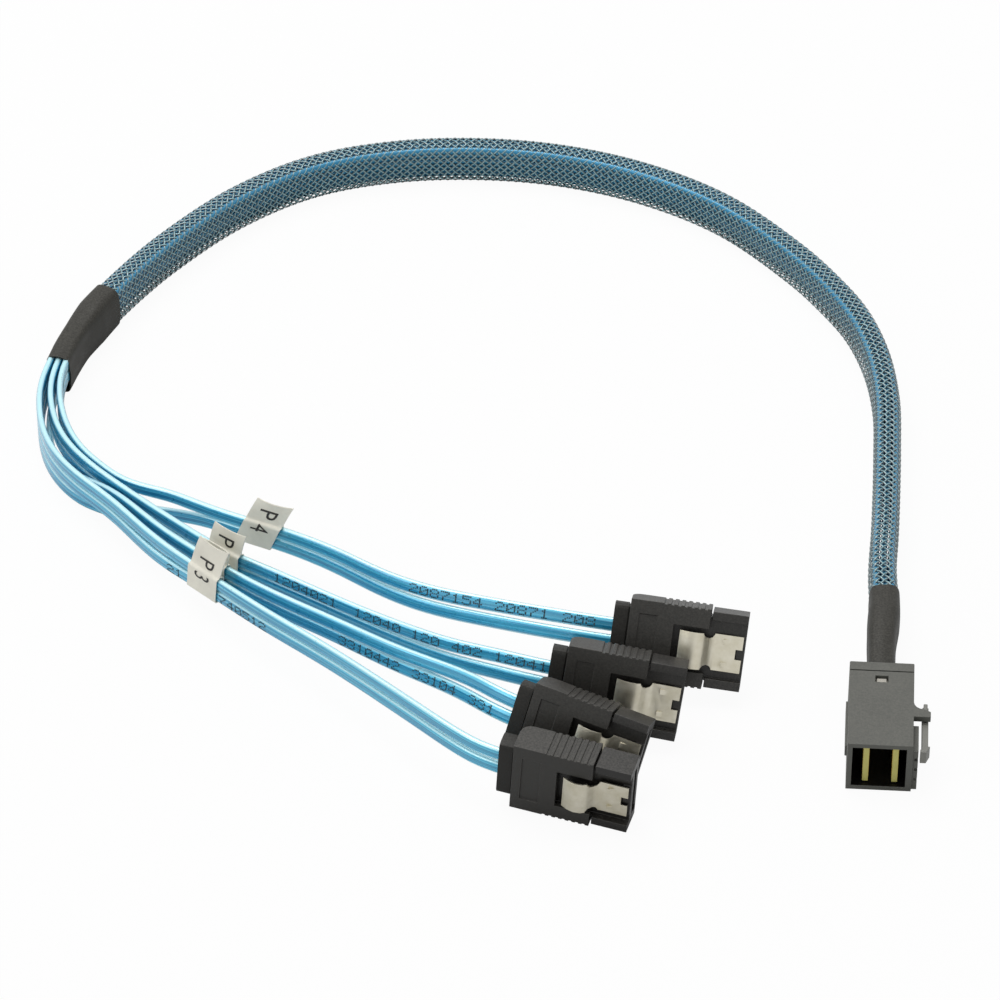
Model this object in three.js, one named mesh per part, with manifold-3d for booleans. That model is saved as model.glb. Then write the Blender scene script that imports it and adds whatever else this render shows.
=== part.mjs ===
// Breakout cable for disk drives: one internal high-density plug, a braided sleeve over eight flat
// twin-axial ribbons, and four latching seven-contact drive plugs, each on two of the ribbons.
// Millimetres, +Z up. The cable lies on a table at Z = 0, with the sleeved arc at the back (+Y), the
// large plug at the right and the four drive plugs leaning one behind the other in the middle.

import * as THREE from 'three';
import { mergeVertices } from 'three/addons/utils/BufferGeometryUtils.js';
import Module from 'manifold-3d';

const wasm = await Module();
wasm.setup();

// Clearances
const FIT_GAP = 0.3; // between plastic pieces that meet
const RIBBON_GAP = 0.1; // between ribbons laid side by side
const OVERCUT = 1; // how far a cutting block reaches past the face it opens

// Flat twin-axial ribbon
const RIBBON_WIDTH = 2.5;
const RIBBON_THICKNESS = 1.3;
const RIBBON_EDGE = 0.35; // bevel that stands for the ribbon's round edges
const RIBBON_STEP = 6; // spacing of the rings along the fanned-out stretch
const RIBBON_TURN_START = 0.3; // share of the fanned-out stretch where the turn to the plug's lean begins
const RIBBON_TURN_END = 0.92;

// Bundle inside the sleeve: three columns of three places, eight of them used
const COLUMN_PITCH = RIBBON_THICKNESS + RIBBON_GAP;
const ROW_PITCH = RIBBON_WIDTH + RIBBON_GAP;
const BUNDLE_HALF_WIDTH = COLUMN_PITCH + RIBBON_THICKNESS / 2;
const BUNDLE_HALF_HEIGHT = ROW_PITCH + RIBBON_WIDTH / 2;
const BUNDLE_STEPS = 34; // spaces between the rings along the sleeved stretch

// Braided sleeve
const SLEEVE_CLEARANCE = 0.2;
const SLEEVE_WALL = 0.3;
const SLEEVE_HALF_WIDTH = BUNDLE_HALF_WIDTH + SLEEVE_CLEARANCE + SLEEVE_WALL;
const SLEEVE_HALF_HEIGHT = BUNDLE_HALF_HEIGHT + SLEEVE_CLEARANCE + SLEEVE_WALL;
const SLEEVE_CORNER = 1.1;

// Heat-shrink tubes
const SHRINK_WALL = 0.35;
const SHRINK_CLEARANCE = 0.15;
const SHRINK_GRIP = 6; // how far each tube runs over the sleeve
const SHRINK_TAPER = 5; // length over which a tube narrows from the sleeve to the bare bundle
const SHRINK_TAPERED = 0.8; // share of the narrowing reached there
const PLUG_SHRINK_LENGTH = 21.5;
const BREAKOUT_SHRINK_LENGTH = 22.5;

// Labels round each pair of ribbons
const LABEL_THICKNESS = 0.25;
const LABEL_CLEARANCE = 0.36;

// Drive plug: x along the mating direction, y away from the latch face, z across the width
const PLUG_WIDTH = 14.4;
const PLUG_THICKNESS = 6;
const HOOD_LENGTH = 14.3;
const HOOD_WALL = 0.7;
const HOOD_SIDE_WALL = 1.2;
const HOOD_REAR_WALL = 2;
const HOOD_REAR_RADIUS = 2;
const GRIP_COUNT = 7;
const GRIP_PITCH = 1.2;
const GRIP_WIDTH = 0.5;
const GRIP_DEPTH = 0.2;
const FRAME_START = 1.7;
const FRAME_LENGTH = 3.3;
const FRAME_WIDTH = 9.4;
const FRAME_DEPTH = 0.25;
const NOSE_LENGTH = 6.4;
const NOSE_INSET = 0.35;
const NOSE_RAIL = 1.6;
const HOUSING_FLOOR = 1.8; // depth of the floor below the latch, from the latch face
const CAVITY_DEPTH = 5.4;
const CAVITY_WIDTH = 10.4;
const CAVITY_SLOT = 1.4;
const CAVITY_KEY = 1.3;
const CAVITY_KEY_DEPTH = 0.8;
const CAVITY_OFFSET = 3.1; // from the latch face to the near wall of the mating slot

// Steel latch of a drive plug
const LATCH_WIDTH = 6.6;
const LATCH_CENTRE = PLUG_WIDTH / 2 - 0.4;
const LATCH_SHEET = 0.3;
const LATCH_ROOT_DEPTH = 1.15; // from the latch face down to the middle of the root's sheet
const LATCH_ROOT_INSET = 0.4; // from the nose's end back to the root's end
const LATCH_PLATE_START = 15.7;
// Middle of the sheet behind the flat plate: distance back from the plate's start, rise above the plate
const LATCH_PROFILE = [[1.1, 0.55], [2.1, 1.55], [2.9, 1.98], [4.1, 2.1], [5.3, 1.8], [6.4, 1.15]];
const LATCH_SIDE_GAP = 0.7;
const LATCH_NECK_CUT = 0.9;
const LATCH_NECK_RADIUS = 1;
const LATCH_NECK_BACK = 1.2; // from the plate's start back to the middle of the neck
const LATCH_NECK_SIDES = 10;
const LATCH_NOTCH_WIDTH = 1.8;
const LATCH_NOTCH_DEPTH = 1.2;
const LATCH_SEAT_LENGTH = 1.5; // raised strip of the housing under the root's end
const BARB_LENGTH = 1.5;
const BARB_WIDTH = 0.9;
const BARB_HEIGHT = 0.55;
const BARB_START = 1.3; // from the plate's start to the barb's upright end
const BARB_INSET = 1.25; // from the latch's edge to the middle of a barb
const POCKET_START = 8;

// Soft boot at the back of a drive plug
const BOOT_WIDTH = 11.6;
const BOOT_THICKNESS = 4;
const BOOT_LENGTH = 2.5;
const BOOT_STEP = 0.35; // how much the neck in the hood's rear wall is set in on each side
const BOOT_FLANGE = 1.4;
const BOOT_CORNER = 1.1;
const BOOT_RIBBON_PITCH = 3.1; // the two ribbons stand edge to edge in the boot
const BOOT_LEAD = 2; // straight length of ribbon behind the boot

// High-density plug: x across, y from the mating face to the cable, z up
const HD_WIDTH = 11.35;
const HD_LENGTH = 21.6;
const HD_HEIGHT = 10.6;
const HD_WALL = 0.9;
const HD_KEY_WALL = 1.05; // wall on the latch side
const HD_CAP_LENGTH = 2.1;
const HD_BOARD_PITCH = 5.1;
const HD_BOARD_OFFSET = 0.2; // of the pair of boards, towards the latch side
const HD_BOARD_THICKNESS = 1;
const HD_BOARD_RECESS = 1;
const HD_BOARD_GRIP = 4.5; // length of board held in the wire block
const HD_BLOCK_LENGTH = 8.5;
const HD_WINDOW_WIDTH = 2.3;
const HD_WINDOW_LENGTH = 1.7;
const HD_WINDOW_FROM_CAP = 1.1;
const HD_RIB_START = 4;
const HD_RIB_LENGTH = 11.5;
const HD_RIB_HEIGHT = 2.4;
const HD_RIB_DEPTH = 0.4;
const HD_KEY_WIDTH = 0.95;
const HD_KEY_LENGTH = 6.6;
const HD_KEY_DROP = 1.4; // from the shell's top down to the key's
const HD_KEY_SLOTS = 3;
const HD_KEY_SLOT_HEIGHT = 0.7;
const HD_KEY_SLOT_DEPTH = 0.6;
const HD_GUARD_REACH = 2.95;
const HD_GUARD_START = 7.8;
const HD_GUARD_LENGTH = 2;
const HD_GUARD_THICKNESS = 1.2;
const HD_GUARD_FILLET = 1.75;
const HD_GUARD_CORNER = 0.65; // bevel behind the guard's tip
const HD_LATCH_GAP = 0.55; // air between the latch arm and the key block
const HD_LATCH_THICKNESS = 1.1;
const HD_LATCH_HEIGHT = 2.6;
const HD_LATCH_ROOT = 1.6;
const HD_LATCH_LEAD = 0.3; // bevel at the front of the arm
const HD_LATCH_BARB = 0.35; // how far the barb behind the bevel stands out
const HD_LATCH_LENGTH = 11.5;
const HD_HOOK_LENGTH = 1.6;
const HD_HOOK_HEIGHT = 0.9;
const HD_HOOK_INSET = 0.2;

// Where each plug lies: the corner at its origin, then its turns in degrees
const HD_POSE = { x: 65.5, y: -60.08, yaw: -3.8 };
const DRIVE_POSES = {
  p1: { x: 15.17, y: -47.92, yaw: -9.3, lean: -23.4, pitch: 5.9 },
  p2: { x: 7.6, y: -58.49, yaw: -21, lean: -26.9, pitch: 8.4 },
  p3: { x: 6.93, y: -65.9, yaw: -16.8, lean: -0.2, pitch: 3.2 },
  p4: { x: 26.75, y: -36.26, yaw: -7.9, lean: -31.5, pitch: 4 },
};

// Middle of the bundle from the large plug round to the breakout; the plug's own end is added in front
const BUNDLE_POINTS = [
  [73.18, -29.4, 5.3], [74.18, -19.8, 5.3], [74.48, -8.3, 5.2], [75.59, 3.2, 4.7],
  [77.29, 27.1, 4.45], [77.79, 39.9, 4.45], [76.68, 52.7, 4.45], [73.48, 64.7, 4.45],
  [68.29, 75, 4.45], [62.48, 84, 4.45], [49.18, 99.5, 4.45], [33.98, 109.7, 4.45],
  [17.89, 115.7, 4.45], [1.48, 118, 4.45], [-15.12, 117.1, 4.45], [-31.12, 112.4, 4.45],
  [-45.92, 102.2, 4.45], [-58.92, 87.5, 4.55], [-66.32, 76.4, 4.8], [-71.71, 66.6, 4.95],
  [-75.52, 57.6, 4.9], [-77.91, 49.4, 4.75],
];

// Each ribbon's place in the bundle (columns to the left of its run, rows upwards), then its own points
// from the breakout towards the boot; the boot's end is added behind
const RIBBONS = {
  ribbon_p1_upper: {
    plug: 'p1', stack: 1, column: 0, row: 1,
    points: [
      [-78.9, 43.3, 7.3], [-78.4, 36.1, 7.3], [-76, 27.6, 7.3], [-71.9, 21, 7.3], [-68.3, 16.8, 7.3],
      [-63.8, 12.2, 7.3], [-55.7, 4.2, 7.4], [-44.3, -6.5, 7.9], [-36, -12.2, 8.3], [-22.3, -21.8, 8.8],
      [-12.4, -28.4, 9.4], [-2.6, -34.4, 10.4], [5.4, -38, 11.3],
    ],
  },
  ribbon_p1_lower: {
    plug: 'p1', stack: -1, column: 0, row: 0,
    points: [
      [-78.9, 43.3, 4.7], [-78.4, 36.1, 4.6], [-76, 27.6, 4.6], [-71.9, 21, 4.6], [-68.3, 16.8, 4.5],
      [-63.8, 12.2, 4.5], [-55.7, 3.8, 4.6], [-44.3, -6.5, 5.2], [-36, -12.2, 5.6], [-22.3, -21.8, 6.1],
      [-12.5, -28.8, 6.6], [-2.9, -35.2, 7.6], [4.9, -39.2, 8.5],
    ],
  },
  ribbon_p2_upper: {
    plug: 'p2', stack: 1, column: 0, row: -1,
    points: [
      [-79, 43.3, 2], [-79, 36.1, 1.9], [-77.4, 27, 2], [-73.4, 19.9, 4], [-69.6, 15.6, 5.8],
      [-65.1, 10.9, 7.1], [-56, 0.2, 7.4], [-46.5, -9.1, 7.8], [-37.2, -17.2, 8.3], [-23.9, -27.1, 9.2],
      [-12.2, -36.1, 10.3], [-4.3, -41.6, 11.4], [1, -45.6, 12.2],
    ],
  },
  ribbon_p2_lower: {
    plug: 'p2', stack: -1, column: -1, row: -1,
    points: [
      [-80.7, 43.3, 2], [-80.6, 35.9, 1.8], [-78.7, 26.5, 1.6], [-74.5, 19.1, 1.5], [-70.2, 15, 1.5],
      [-65.1, 10.9, 3.3], [-56.1, 0.1, 4.4], [-46.5, -9.1, 5], [-37.2, -17.2, 5.6], [-23.9, -27.1, 6.4],
      [-12.5, -36.5, 7.6], [-4.8, -42.4, 8.7], [0.1, -46.8, 9.5],
    ],
  },
  ribbon_p3_upper: {
    plug: 'p3', stack: 1, column: -1, row: 1,
    points: [
      [-80.7, 43.3, 7.3], [-80.6, 35.9, 7.3], [-78.8, 26.5, 7.3], [-74.8, 19, 7.3], [-70.9, 14.3, 7.3],
      [-66.4, 9.6, 7.3], [-56.6, -2.7, 7.3], [-47.7, -12, 7.6], [-37.4, -22.2, 8], [-24.7, -33.9, 8.6],
      [-12.1, -46.7, 9.4], [-6.8, -52.3, 9.8], [-1.9, -57.3, 10.1],
    ],
  },
  ribbon_p3_lower: {
    plug: 'p3', stack: -1, column: -1, row: 0,
    points: [
      [-80.7, 43.3, 4.7], [-80.6, 35.9, 4.6], [-78.8, 26.5, 4.6], [-74.8, 19, 4.6], [-70.9, 14.3, 4.5],
      [-66.4, 9.6, 4.5], [-56.7, -3.4, 4.5], [-47.7, -12, 4.8], [-37.4, -22.2, 5.2], [-24.7, -33.9, 5.8],
      [-12.2, -46.7, 6.5], [-6.9, -52.3, 6.8], [-2.1, -57.3, 7],
    ],
  },
  ribbon_p4_upper: {
    plug: 'p4', stack: 1, column: 1, row: 1,
    points: [
      [-77.3, 43.2, 7.2], [-76.6, 36.3, 7.1], [-74.3, 28.3, 6.9], [-70.6, 22, 6.8], [-66.9, 18, 6.8],
      [-62.5, 13.6, 6.9], [-56.9, 11.8, 7.2], [-48.5, 6.6, 7.5], [-40.1, 1.9, 7.9], [-35.5, -0.3, 8.1],
      [-25.3, -6.5, 8.6], [-15.3, -14.1, 9], [-7.1, -18.9, 9.6], [5.4, -23.6, 10.4], [16, -26.9, 10.9],
    ],
  },
  ribbon_p4_lower: {
    plug: 'p4', stack: -1, column: 1, row: 0,
    points: [
      [-77.3, 43.2, 4.6], [-76.6, 36.3, 4.4], [-74.3, 28.3, 4], [-70.6, 22, 3.5], [-67.1, 17.9, 3],
      [-62.8, 13.3, 2.4], [-57.7, 12.4, 1.9], [-48.5, 6.6, 4.8], [-40.1, 1.9, 5.2], [-35.5, -0.3, 5.4],
      [-25.4, -6.8, 5.9], [-15.4, -14.8, 6.3], [-7.4, -19.9, 6.9], [5.1, -24.9, 7.7], [15.6, -28.5, 8.3],
    ],
  },
};

// Label of each port: which of the ribbons' points it sits on and how far past that point, how far its
// flag stands up, and how far it slants along the run for each millimetre of rise
const LABELS = {
  p1: { at: 7, offset: 0, flag: 3.4, slant: 0.1 },
  p2: { at: 7, offset: 0, flag: 2.6, slant: 0.1 },
  p3: { at: 7, offset: 0, flag: 4.8, slant: 0.14 },
  p4: { at: 8, offset: 1.9, flag: 3.6, slant: 0.45 },
};
const LABEL_LENGTH = 7.5;
const LABEL_LEAN = 0.28; // sideways run of the flag for each millimetre of rise

const UP = new THREE.Vector3(0, 0, 1);
const radians = THREE.MathUtils.degToRad;

const MATERIALS = {
  plug_black: new THREE.MeshStandardMaterial({ color: 0x2b2b29, roughness: 0.5, metalness: 0 }),
  housing_black: new THREE.MeshStandardMaterial({ color: 0x1a1a1a, roughness: 0.4, metalness: 0 }),
  boot_black: new THREE.MeshStandardMaterial({ color: 0x1d1c1a, roughness: 0.7, metalness: 0 }),
  latch_steel: new THREE.MeshStandardMaterial({ color: 0xc9c5b6, roughness: 0.3, metalness: 1 }),
  hd_grey: new THREE.MeshStandardMaterial({ color: 0x585953, roughness: 0.55, metalness: 0 }),
  hd_latch_grey: new THREE.MeshStandardMaterial({ color: 0x8d8d88, roughness: 0.5, metalness: 0 }),
  board: new THREE.MeshStandardMaterial({ color: 0xa8a05a, roughness: 0.45, metalness: 0 }),
  wire_block: new THREE.MeshStandardMaterial({ color: 0xb9b6ac, roughness: 0.6, metalness: 0 }),
  shrink: new THREE.MeshStandardMaterial({ color: 0x24231d, roughness: 0.7, metalness: 0 }),
  sleeve: new THREE.MeshStandardMaterial({ color: 0x36606e, roughness: 0.6, metalness: 0 }),
  ribbon: new THREE.MeshStandardMaterial({ color: 0x6fc3e2, roughness: 0.35, metalness: 0 }),
  label: new THREE.MeshStandardMaterial({ color: 0xe6e3d6, roughness: 0.8, metalness: 0 }),
};

// Route given ring by ring, each ring with its own side and up vector, so that a flat section can be
// laid, twisted and tapered as it is extruded
class RingRoute extends THREE.Curve {
  constructor(rings) {
    super();
    this.rings = rings;
  }

  get steps() {
    return this.rings.length - 1;
  }

  getPoint(t, target = new THREE.Vector3()) {
    const place = Math.min(t * this.steps, this.steps - 1e-9);
    const first = Math.floor(place);
    return target.lerpVectors(this.rings[first].centre, this.rings[first + 1].centre, place - first);
  }

  getSpacedPoints() {
    return this.rings.map((ring) => ring.centre.clone());
  }

  computeFrenetFrames() {
    return {
      tangents: this.rings.map((ring) => ring.tangent),
      normals: this.rings.map((ring) => ring.side),
      binormals: this.rings.map((ring) => ring.up),
    };
  }
}

// One ring: side points to the left of the run, up is as near the given direction as the run allows
function ringAt(centre, tangent, upright) {
  const forward = tangent.clone().normalize();
  const side = new THREE.Vector3().crossVectors(upright, forward).normalize();
  const up = new THREE.Vector3().crossVectors(forward, side).normalize();
  return { centre, tangent: forward, side, up };
}

function shiftedRing(ring, along, above) {
  const centre = ring.centre.clone().addScaledVector(ring.side, along).addScaledVector(ring.up, above);
  return { ...ring, centre };
}

// The same ring with its section widened or narrowed
function scaledRing(ring, sideways, upwards) {
  const side = ring.side.clone().multiplyScalar(sideways);
  const up = ring.up.clone().multiplyScalar(upwards);
  return { ...ring, side, up };
}

function polygon(points) {
  return new THREE.Shape(points.map(([x, y]) => new THREE.Vector2(x, y)));
}

// Rectangle with cut corners
function bevelled(halfWidth, halfHeight, bevel) {
  return [
    [halfWidth, bevel - halfHeight], [halfWidth, halfHeight - bevel],
    [halfWidth - bevel, halfHeight], [bevel - halfWidth, halfHeight],
    [-halfWidth, halfHeight - bevel], [-halfWidth, bevel - halfHeight],
    [bevel - halfWidth, -halfHeight], [halfWidth - bevel, -halfHeight],
  ];
}

// Rectangle with round corners, two chords to a corner
function rounded(halfWidth, halfHeight, radius) {
  const corners = [[1, 1], [-1, 1], [-1, -1], [1, -1]];
  return corners.flatMap(([right, top], corner) => [0, 1, 2].map((chord) => {
    const angle = (corner + chord / 2) * Math.PI / 2;
    const x = right * (halfWidth - radius) + radius * Math.cos(angle);
    const y = top * (halfHeight - radius) + radius * Math.sin(angle);
    return [x, y];
  }));
}

function hollow(outer, inner) {
  const shape = polygon(outer);
  shape.holes.push(new THREE.Path(inner.map(([x, y]) => new THREE.Vector2(x, y))));
  return shape;
}

function sweep(shape, rings) {
  const route = new RingRoute(rings);
  return new THREE.ExtrudeGeometry(shape, { steps: route.steps, extrudePath: route });
}

function prism(shape, depth, curveSegments = 2) {
  return new THREE.ExtrudeGeometry(shape, { depth, bevelEnabled: false, curveSegments });
}

function block([x0, x1], [y0, y1], [z0, z1]) {
  const box = new THREE.BoxGeometry(x1 - x0, y1 - y0, z1 - z0);
  return box.translate((x0 + x1) / 2, (y0 + y1) / 2, (z0 + z1) / 2);
}

// Booleans
function toSolid(geometry) {
  const bare = geometry.clone();
  bare.deleteAttribute('normal');
  bare.deleteAttribute('uv');
  const merged = mergeVertices(bare, 1e-5);
  const vertProperties = new Float32Array(merged.attributes.position.array);
  const triVerts = new Uint32Array(merged.index.array);
  return new wasm.Manifold(new wasm.Mesh({ numProp: 3, vertProperties, triVerts }));
}

function toGeometry(solid) {
  const mesh = solid.getMesh();
  const geometry = new THREE.BufferGeometry();
  geometry.setAttribute('position', new THREE.BufferAttribute(mesh.vertProperties, 3));
  geometry.setIndex(new THREE.BufferAttribute(mesh.triVerts, 1));
  geometry.computeVertexNormals();
  return geometry;
}

function shaped(base, { add = [], cut = [] }) {
  let solid = toSolid(base);
  for (const piece of add) {
    solid = solid.add(toSolid(piece));
  }
  for (const piece of cut) {
    solid = solid.subtract(toSolid(piece));
  }
  return toGeometry(solid);
}

function named(name, geometry, material) {
  const mesh = new THREE.Mesh(geometry, material);
  mesh.name = name;
  return mesh;
}

// Hood of a drive plug: a moulded cover with grip ribs on both edges, open in front for the housing
// and over the latch
function hood() {
  const plan = new THREE.Shape();
  plan.moveTo(0, 0);
  plan.lineTo(HOOD_LENGTH, 0);
  plan.lineTo(HOOD_LENGTH, PLUG_THICKNESS);
  plan.lineTo(HOOD_REAR_RADIUS, PLUG_THICKNESS);
  plan.absarc(
    HOOD_REAR_RADIUS, PLUG_THICKNESS - HOOD_REAR_RADIUS, HOOD_REAR_RADIUS, Math.PI / 2, Math.PI, false,
  );
  plan.closePath();
  const neck = { thickness: BOOT_THICKNESS / 2 - BOOT_STEP, width: BOOT_WIDTH / 2 - BOOT_STEP };
  const middle = { y: PLUG_THICKNESS / 2, z: PLUG_WIDTH / 2 };
  const pocketHalf = LATCH_WIDTH / 2 + LATCH_SIDE_GAP;
  const cut = [
    block(
      [HOOD_REAR_WALL, HOOD_LENGTH + OVERCUT],
      [HOOD_WALL, PLUG_THICKNESS - HOOD_WALL],
      [HOOD_SIDE_WALL, PLUG_WIDTH - HOOD_SIDE_WALL],
    ),
    block(
      [-OVERCUT, HOOD_REAR_WALL + OVERCUT],
      [middle.y - neck.thickness - FIT_GAP, middle.y + neck.thickness + FIT_GAP],
      [middle.z - neck.width - FIT_GAP, middle.z + neck.width + FIT_GAP],
    ),
    block(
      [POCKET_START, HOOD_LENGTH + OVERCUT],
      [-OVERCUT, HOOD_WALL + OVERCUT],
      [LATCH_CENTRE - pocketHalf, LATCH_CENTRE + pocketHalf],
    ),
    block(
      [FRAME_START, FRAME_START + FRAME_LENGTH],
      [-OVERCUT, FRAME_DEPTH],
      [middle.z - FRAME_WIDTH / 2, middle.z + FRAME_WIDTH / 2],
    ),
  ];
  for (let rib = 0; rib < GRIP_COUNT; rib += 1) {
    const start = HOOD_LENGTH - (rib + 1) * GRIP_PITCH;
    const across = [-OVERCUT, PLUG_THICKNESS + OVERCUT];
    cut.push(block([start, start + GRIP_WIDTH], across, [-OVERCUT, GRIP_DEPTH]));
    cut.push(block([start, start + GRIP_WIDTH], across, [PLUG_WIDTH - GRIP_DEPTH, PLUG_WIDTH + OVERCUT]));
  }
  return shaped(prism(plan, PLUG_WIDTH), { cut });
}

// Contact housing: held in the hood, with the nose in front and the L-shaped mating slot in the nose
const HOUSING_START = HOOD_REAR_WALL + FIT_GAP + BOOT_FLANGE + FIT_GAP;
const NOSE_START = HOOD_LENGTH + FIT_GAP;
const NOSE_END = NOSE_START + NOSE_LENGTH;

function housing() {
  const floorHalf = LATCH_WIDTH / 2 + LATCH_SIDE_GAP + FIT_GAP;
  const nose = block(
    [NOSE_START, NOSE_END],
    [NOSE_INSET, PLUG_THICKNESS - NOSE_INSET],
    [NOSE_INSET, PLUG_WIDTH - NOSE_INSET],
  );
  const held = block(
    [HOUSING_START, NOSE_START + OVERCUT],
    [HOOD_WALL + FIT_GAP, PLUG_THICKNESS - HOOD_WALL - FIT_GAP],
    [HOOD_SIDE_WALL + FIT_GAP, PLUG_WIDTH - HOOD_SIDE_WALL - FIT_GAP],
  );
  const slotZ = [(PLUG_WIDTH - CAVITY_WIDTH) / 2, (PLUG_WIDTH + CAVITY_WIDTH) / 2];
  const slotX = [NOSE_END - CAVITY_DEPTH, NOSE_END + OVERCUT];
  const cut = [
    block(
      [POCKET_START - FIT_GAP, NOSE_START],
      [0, HOUSING_FLOOR],
      [LATCH_CENTRE - floorHalf, LATCH_CENTRE + floorHalf],
    ),
    block(
      [NOSE_START - OVERCUT, NOSE_END + OVERCUT],
      [0, HOUSING_FLOOR],
      [NOSE_INSET + NOSE_RAIL, PLUG_WIDTH - NOSE_INSET - NOSE_RAIL],
    ),
    block(slotX, [CAVITY_OFFSET, CAVITY_OFFSET + CAVITY_SLOT], slotZ),
    block(
      slotX,
      [CAVITY_OFFSET, CAVITY_OFFSET + CAVITY_SLOT + CAVITY_KEY_DEPTH],
      [slotZ[0], slotZ[0] + CAVITY_KEY],
    ),
  ];
  const seat = block(
    [NOSE_END - LATCH_SEAT_LENGTH, NOSE_END],
    [LATCH_ROOT_DEPTH + LATCH_SHEET / 2 + FIT_GAP, CAVITY_OFFSET - FIT_GAP],
    [LATCH_CENTRE - LATCH_WIDTH / 2, LATCH_CENTRE + LATCH_WIDTH / 2],
  );
  return toGeometry(toSolid(shaped(nose, { add: [held], cut })).add(toSolid(seat)));
}

// Outline of a bent sheet: the given middle line with half the sheet's thickness on each side
function bentSheet(line, thickness) {
  const points = line.map(([x, y]) => new THREE.Vector2(x, y));
  const offsets = points.map((point, index) => {
    const before = points[Math.max(index - 1, 0)];
    const after = points[Math.min(index + 1, points.length - 1)];
    const along = after.clone().sub(before).normalize();
    return new THREE.Vector2(-along.y, along.x).multiplyScalar(thickness / 2);
  });
  const left = points.map((point, index) => point.clone().add(offsets[index]));
  const right = points.map((point, index) => point.clone().sub(offsets[index]));
  return new THREE.Shape([...left, ...right.reverse()]);
}

// Steel latch: flat root with two barbs, a waisted neck and a bowed thumb pad
function latch() {
  const rootEnd = NOSE_END - LATCH_ROOT_INSET;
  const line = [
    [rootEnd, LATCH_ROOT_DEPTH],
    [LATCH_PLATE_START, LATCH_ROOT_DEPTH],
    ...LATCH_PROFILE.map(([back, rise]) => [LATCH_PLATE_START - back, LATCH_ROOT_DEPTH - rise]),
  ];
  const low = LATCH_CENTRE - LATCH_WIDTH / 2;
  const high = LATCH_CENTRE + LATCH_WIDTH / 2;
  const sheet = prism(bentSheet(line, LATCH_SHEET), LATCH_WIDTH).translate(0, 0, low);
  const scallopInset = LATCH_NECK_CUT - LATCH_NECK_RADIUS;
  const scallops = [low + scallopInset, high - scallopInset].map((z) => {
    const round = new THREE.CylinderGeometry(
      LATCH_NECK_RADIUS, LATCH_NECK_RADIUS, PLUG_THICKNESS, LATCH_NECK_SIDES,
    );
    return round.translate(LATCH_PLATE_START - LATCH_NECK_BACK, 0, z);
  });
  const notch = block(
    [rootEnd - LATCH_NOTCH_DEPTH, rootEnd + OVERCUT],
    [0, PLUG_THICKNESS],
    [LATCH_CENTRE - LATCH_NOTCH_WIDTH / 2, LATCH_CENTRE + LATCH_NOTCH_WIDTH / 2],
  );
  const barbX = LATCH_PLATE_START + BARB_START;
  const barbs = [low + BARB_INSET, high - BARB_INSET].map((z) => {
    const wedge = polygon([
      [barbX, LATCH_ROOT_DEPTH - LATCH_SHEET / 2 - BARB_HEIGHT],
      [barbX + BARB_LENGTH, LATCH_ROOT_DEPTH],
      [barbX, LATCH_ROOT_DEPTH],
    ]);
    return prism(wedge, BARB_WIDTH).translate(0, 0, z - BARB_WIDTH / 2);
  });
  return shaped(sheet, { add: barbs, cut: [...scallops, notch] });
}

// Soft boot: outer block, a neck through the hood's rear wall and a flange behind it, with a tunnel
// for the two ribbons
function boot() {
  const centred = (geometry) => geometry.translate(0, PLUG_THICKNESS / 2, PLUG_WIDTH / 2);
  const along = (shape, from, to) => {
    const run = prism(shape, to - from).rotateY(Math.PI / 2);
    return centred(run.translate(from, 0, 0));
  };
  const half = { thickness: BOOT_THICKNESS / 2, width: BOOT_WIDTH / 2 };
  const outer = along(
    polygon(rounded(half.width, half.thickness, BOOT_CORNER)), -FIT_GAP - BOOT_LENGTH, -FIT_GAP,
  );
  const neck = block(
    [-FIT_GAP - BOOT_LENGTH / 2, HOOD_REAR_WALL + FIT_GAP + BOOT_FLANGE / 2],
    [BOOT_STEP - half.thickness, half.thickness - BOOT_STEP],
    [BOOT_STEP - half.width, half.width - BOOT_STEP],
  );
  const flange = block(
    [HOOD_REAR_WALL + FIT_GAP, HOOD_REAR_WALL + FIT_GAP + BOOT_FLANGE],
    [-half.thickness, half.thickness],
    [-half.width, half.width],
  );
  const stackHalf = (BOOT_RIBBON_PITCH + RIBBON_WIDTH) / 2;
  const tunnel = block(
    [-FIT_GAP - BOOT_LENGTH - OVERCUT, HOUSING_START],
    [-RIBBON_THICKNESS / 2 - FIT_GAP, RIBBON_THICKNESS / 2 + FIT_GAP],
    [-stackHalf - FIT_GAP, stackHalf + FIT_GAP],
  );
  return shaped(outer, { add: [centred(neck), centred(flange)], cut: [centred(tunnel)] });
}

const SHARED = { hood: hood(), housing: housing(), latch: latch(), boot: boot() };

// One drive plug, turned as it lies and set down so that its lowest corner is on the table
function drivePlug(port) {
  const { x, y, yaw, lean, pitch } = DRIVE_POSES[port];
  const group = new THREE.Group();
  group.rotation.set(radians(lean), radians(pitch), radians(yaw), 'ZYX');
  const corners = [0, NOSE_END].flatMap((along) => [0, PLUG_THICKNESS].flatMap((deep) => (
    [0, PLUG_WIDTH].map((across) => new THREE.Vector3(along, deep, across).applyEuler(group.rotation))
  )));
  group.position.set(x, y, -Math.min(...corners.map((corner) => corner.z)));
  group.add(
    named(`sata_hood_${port}`, SHARED.hood, MATERIALS.plug_black),
    named(`sata_housing_${port}`, SHARED.housing, MATERIALS.housing_black),
    named(`sata_latch_${port}`, SHARED.latch, MATERIALS.latch_steel),
    named(`sata_boot_${port}`, SHARED.boot, MATERIALS.boot_black),
  );
  group.updateMatrixWorld(true);
  return group;
}

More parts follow.
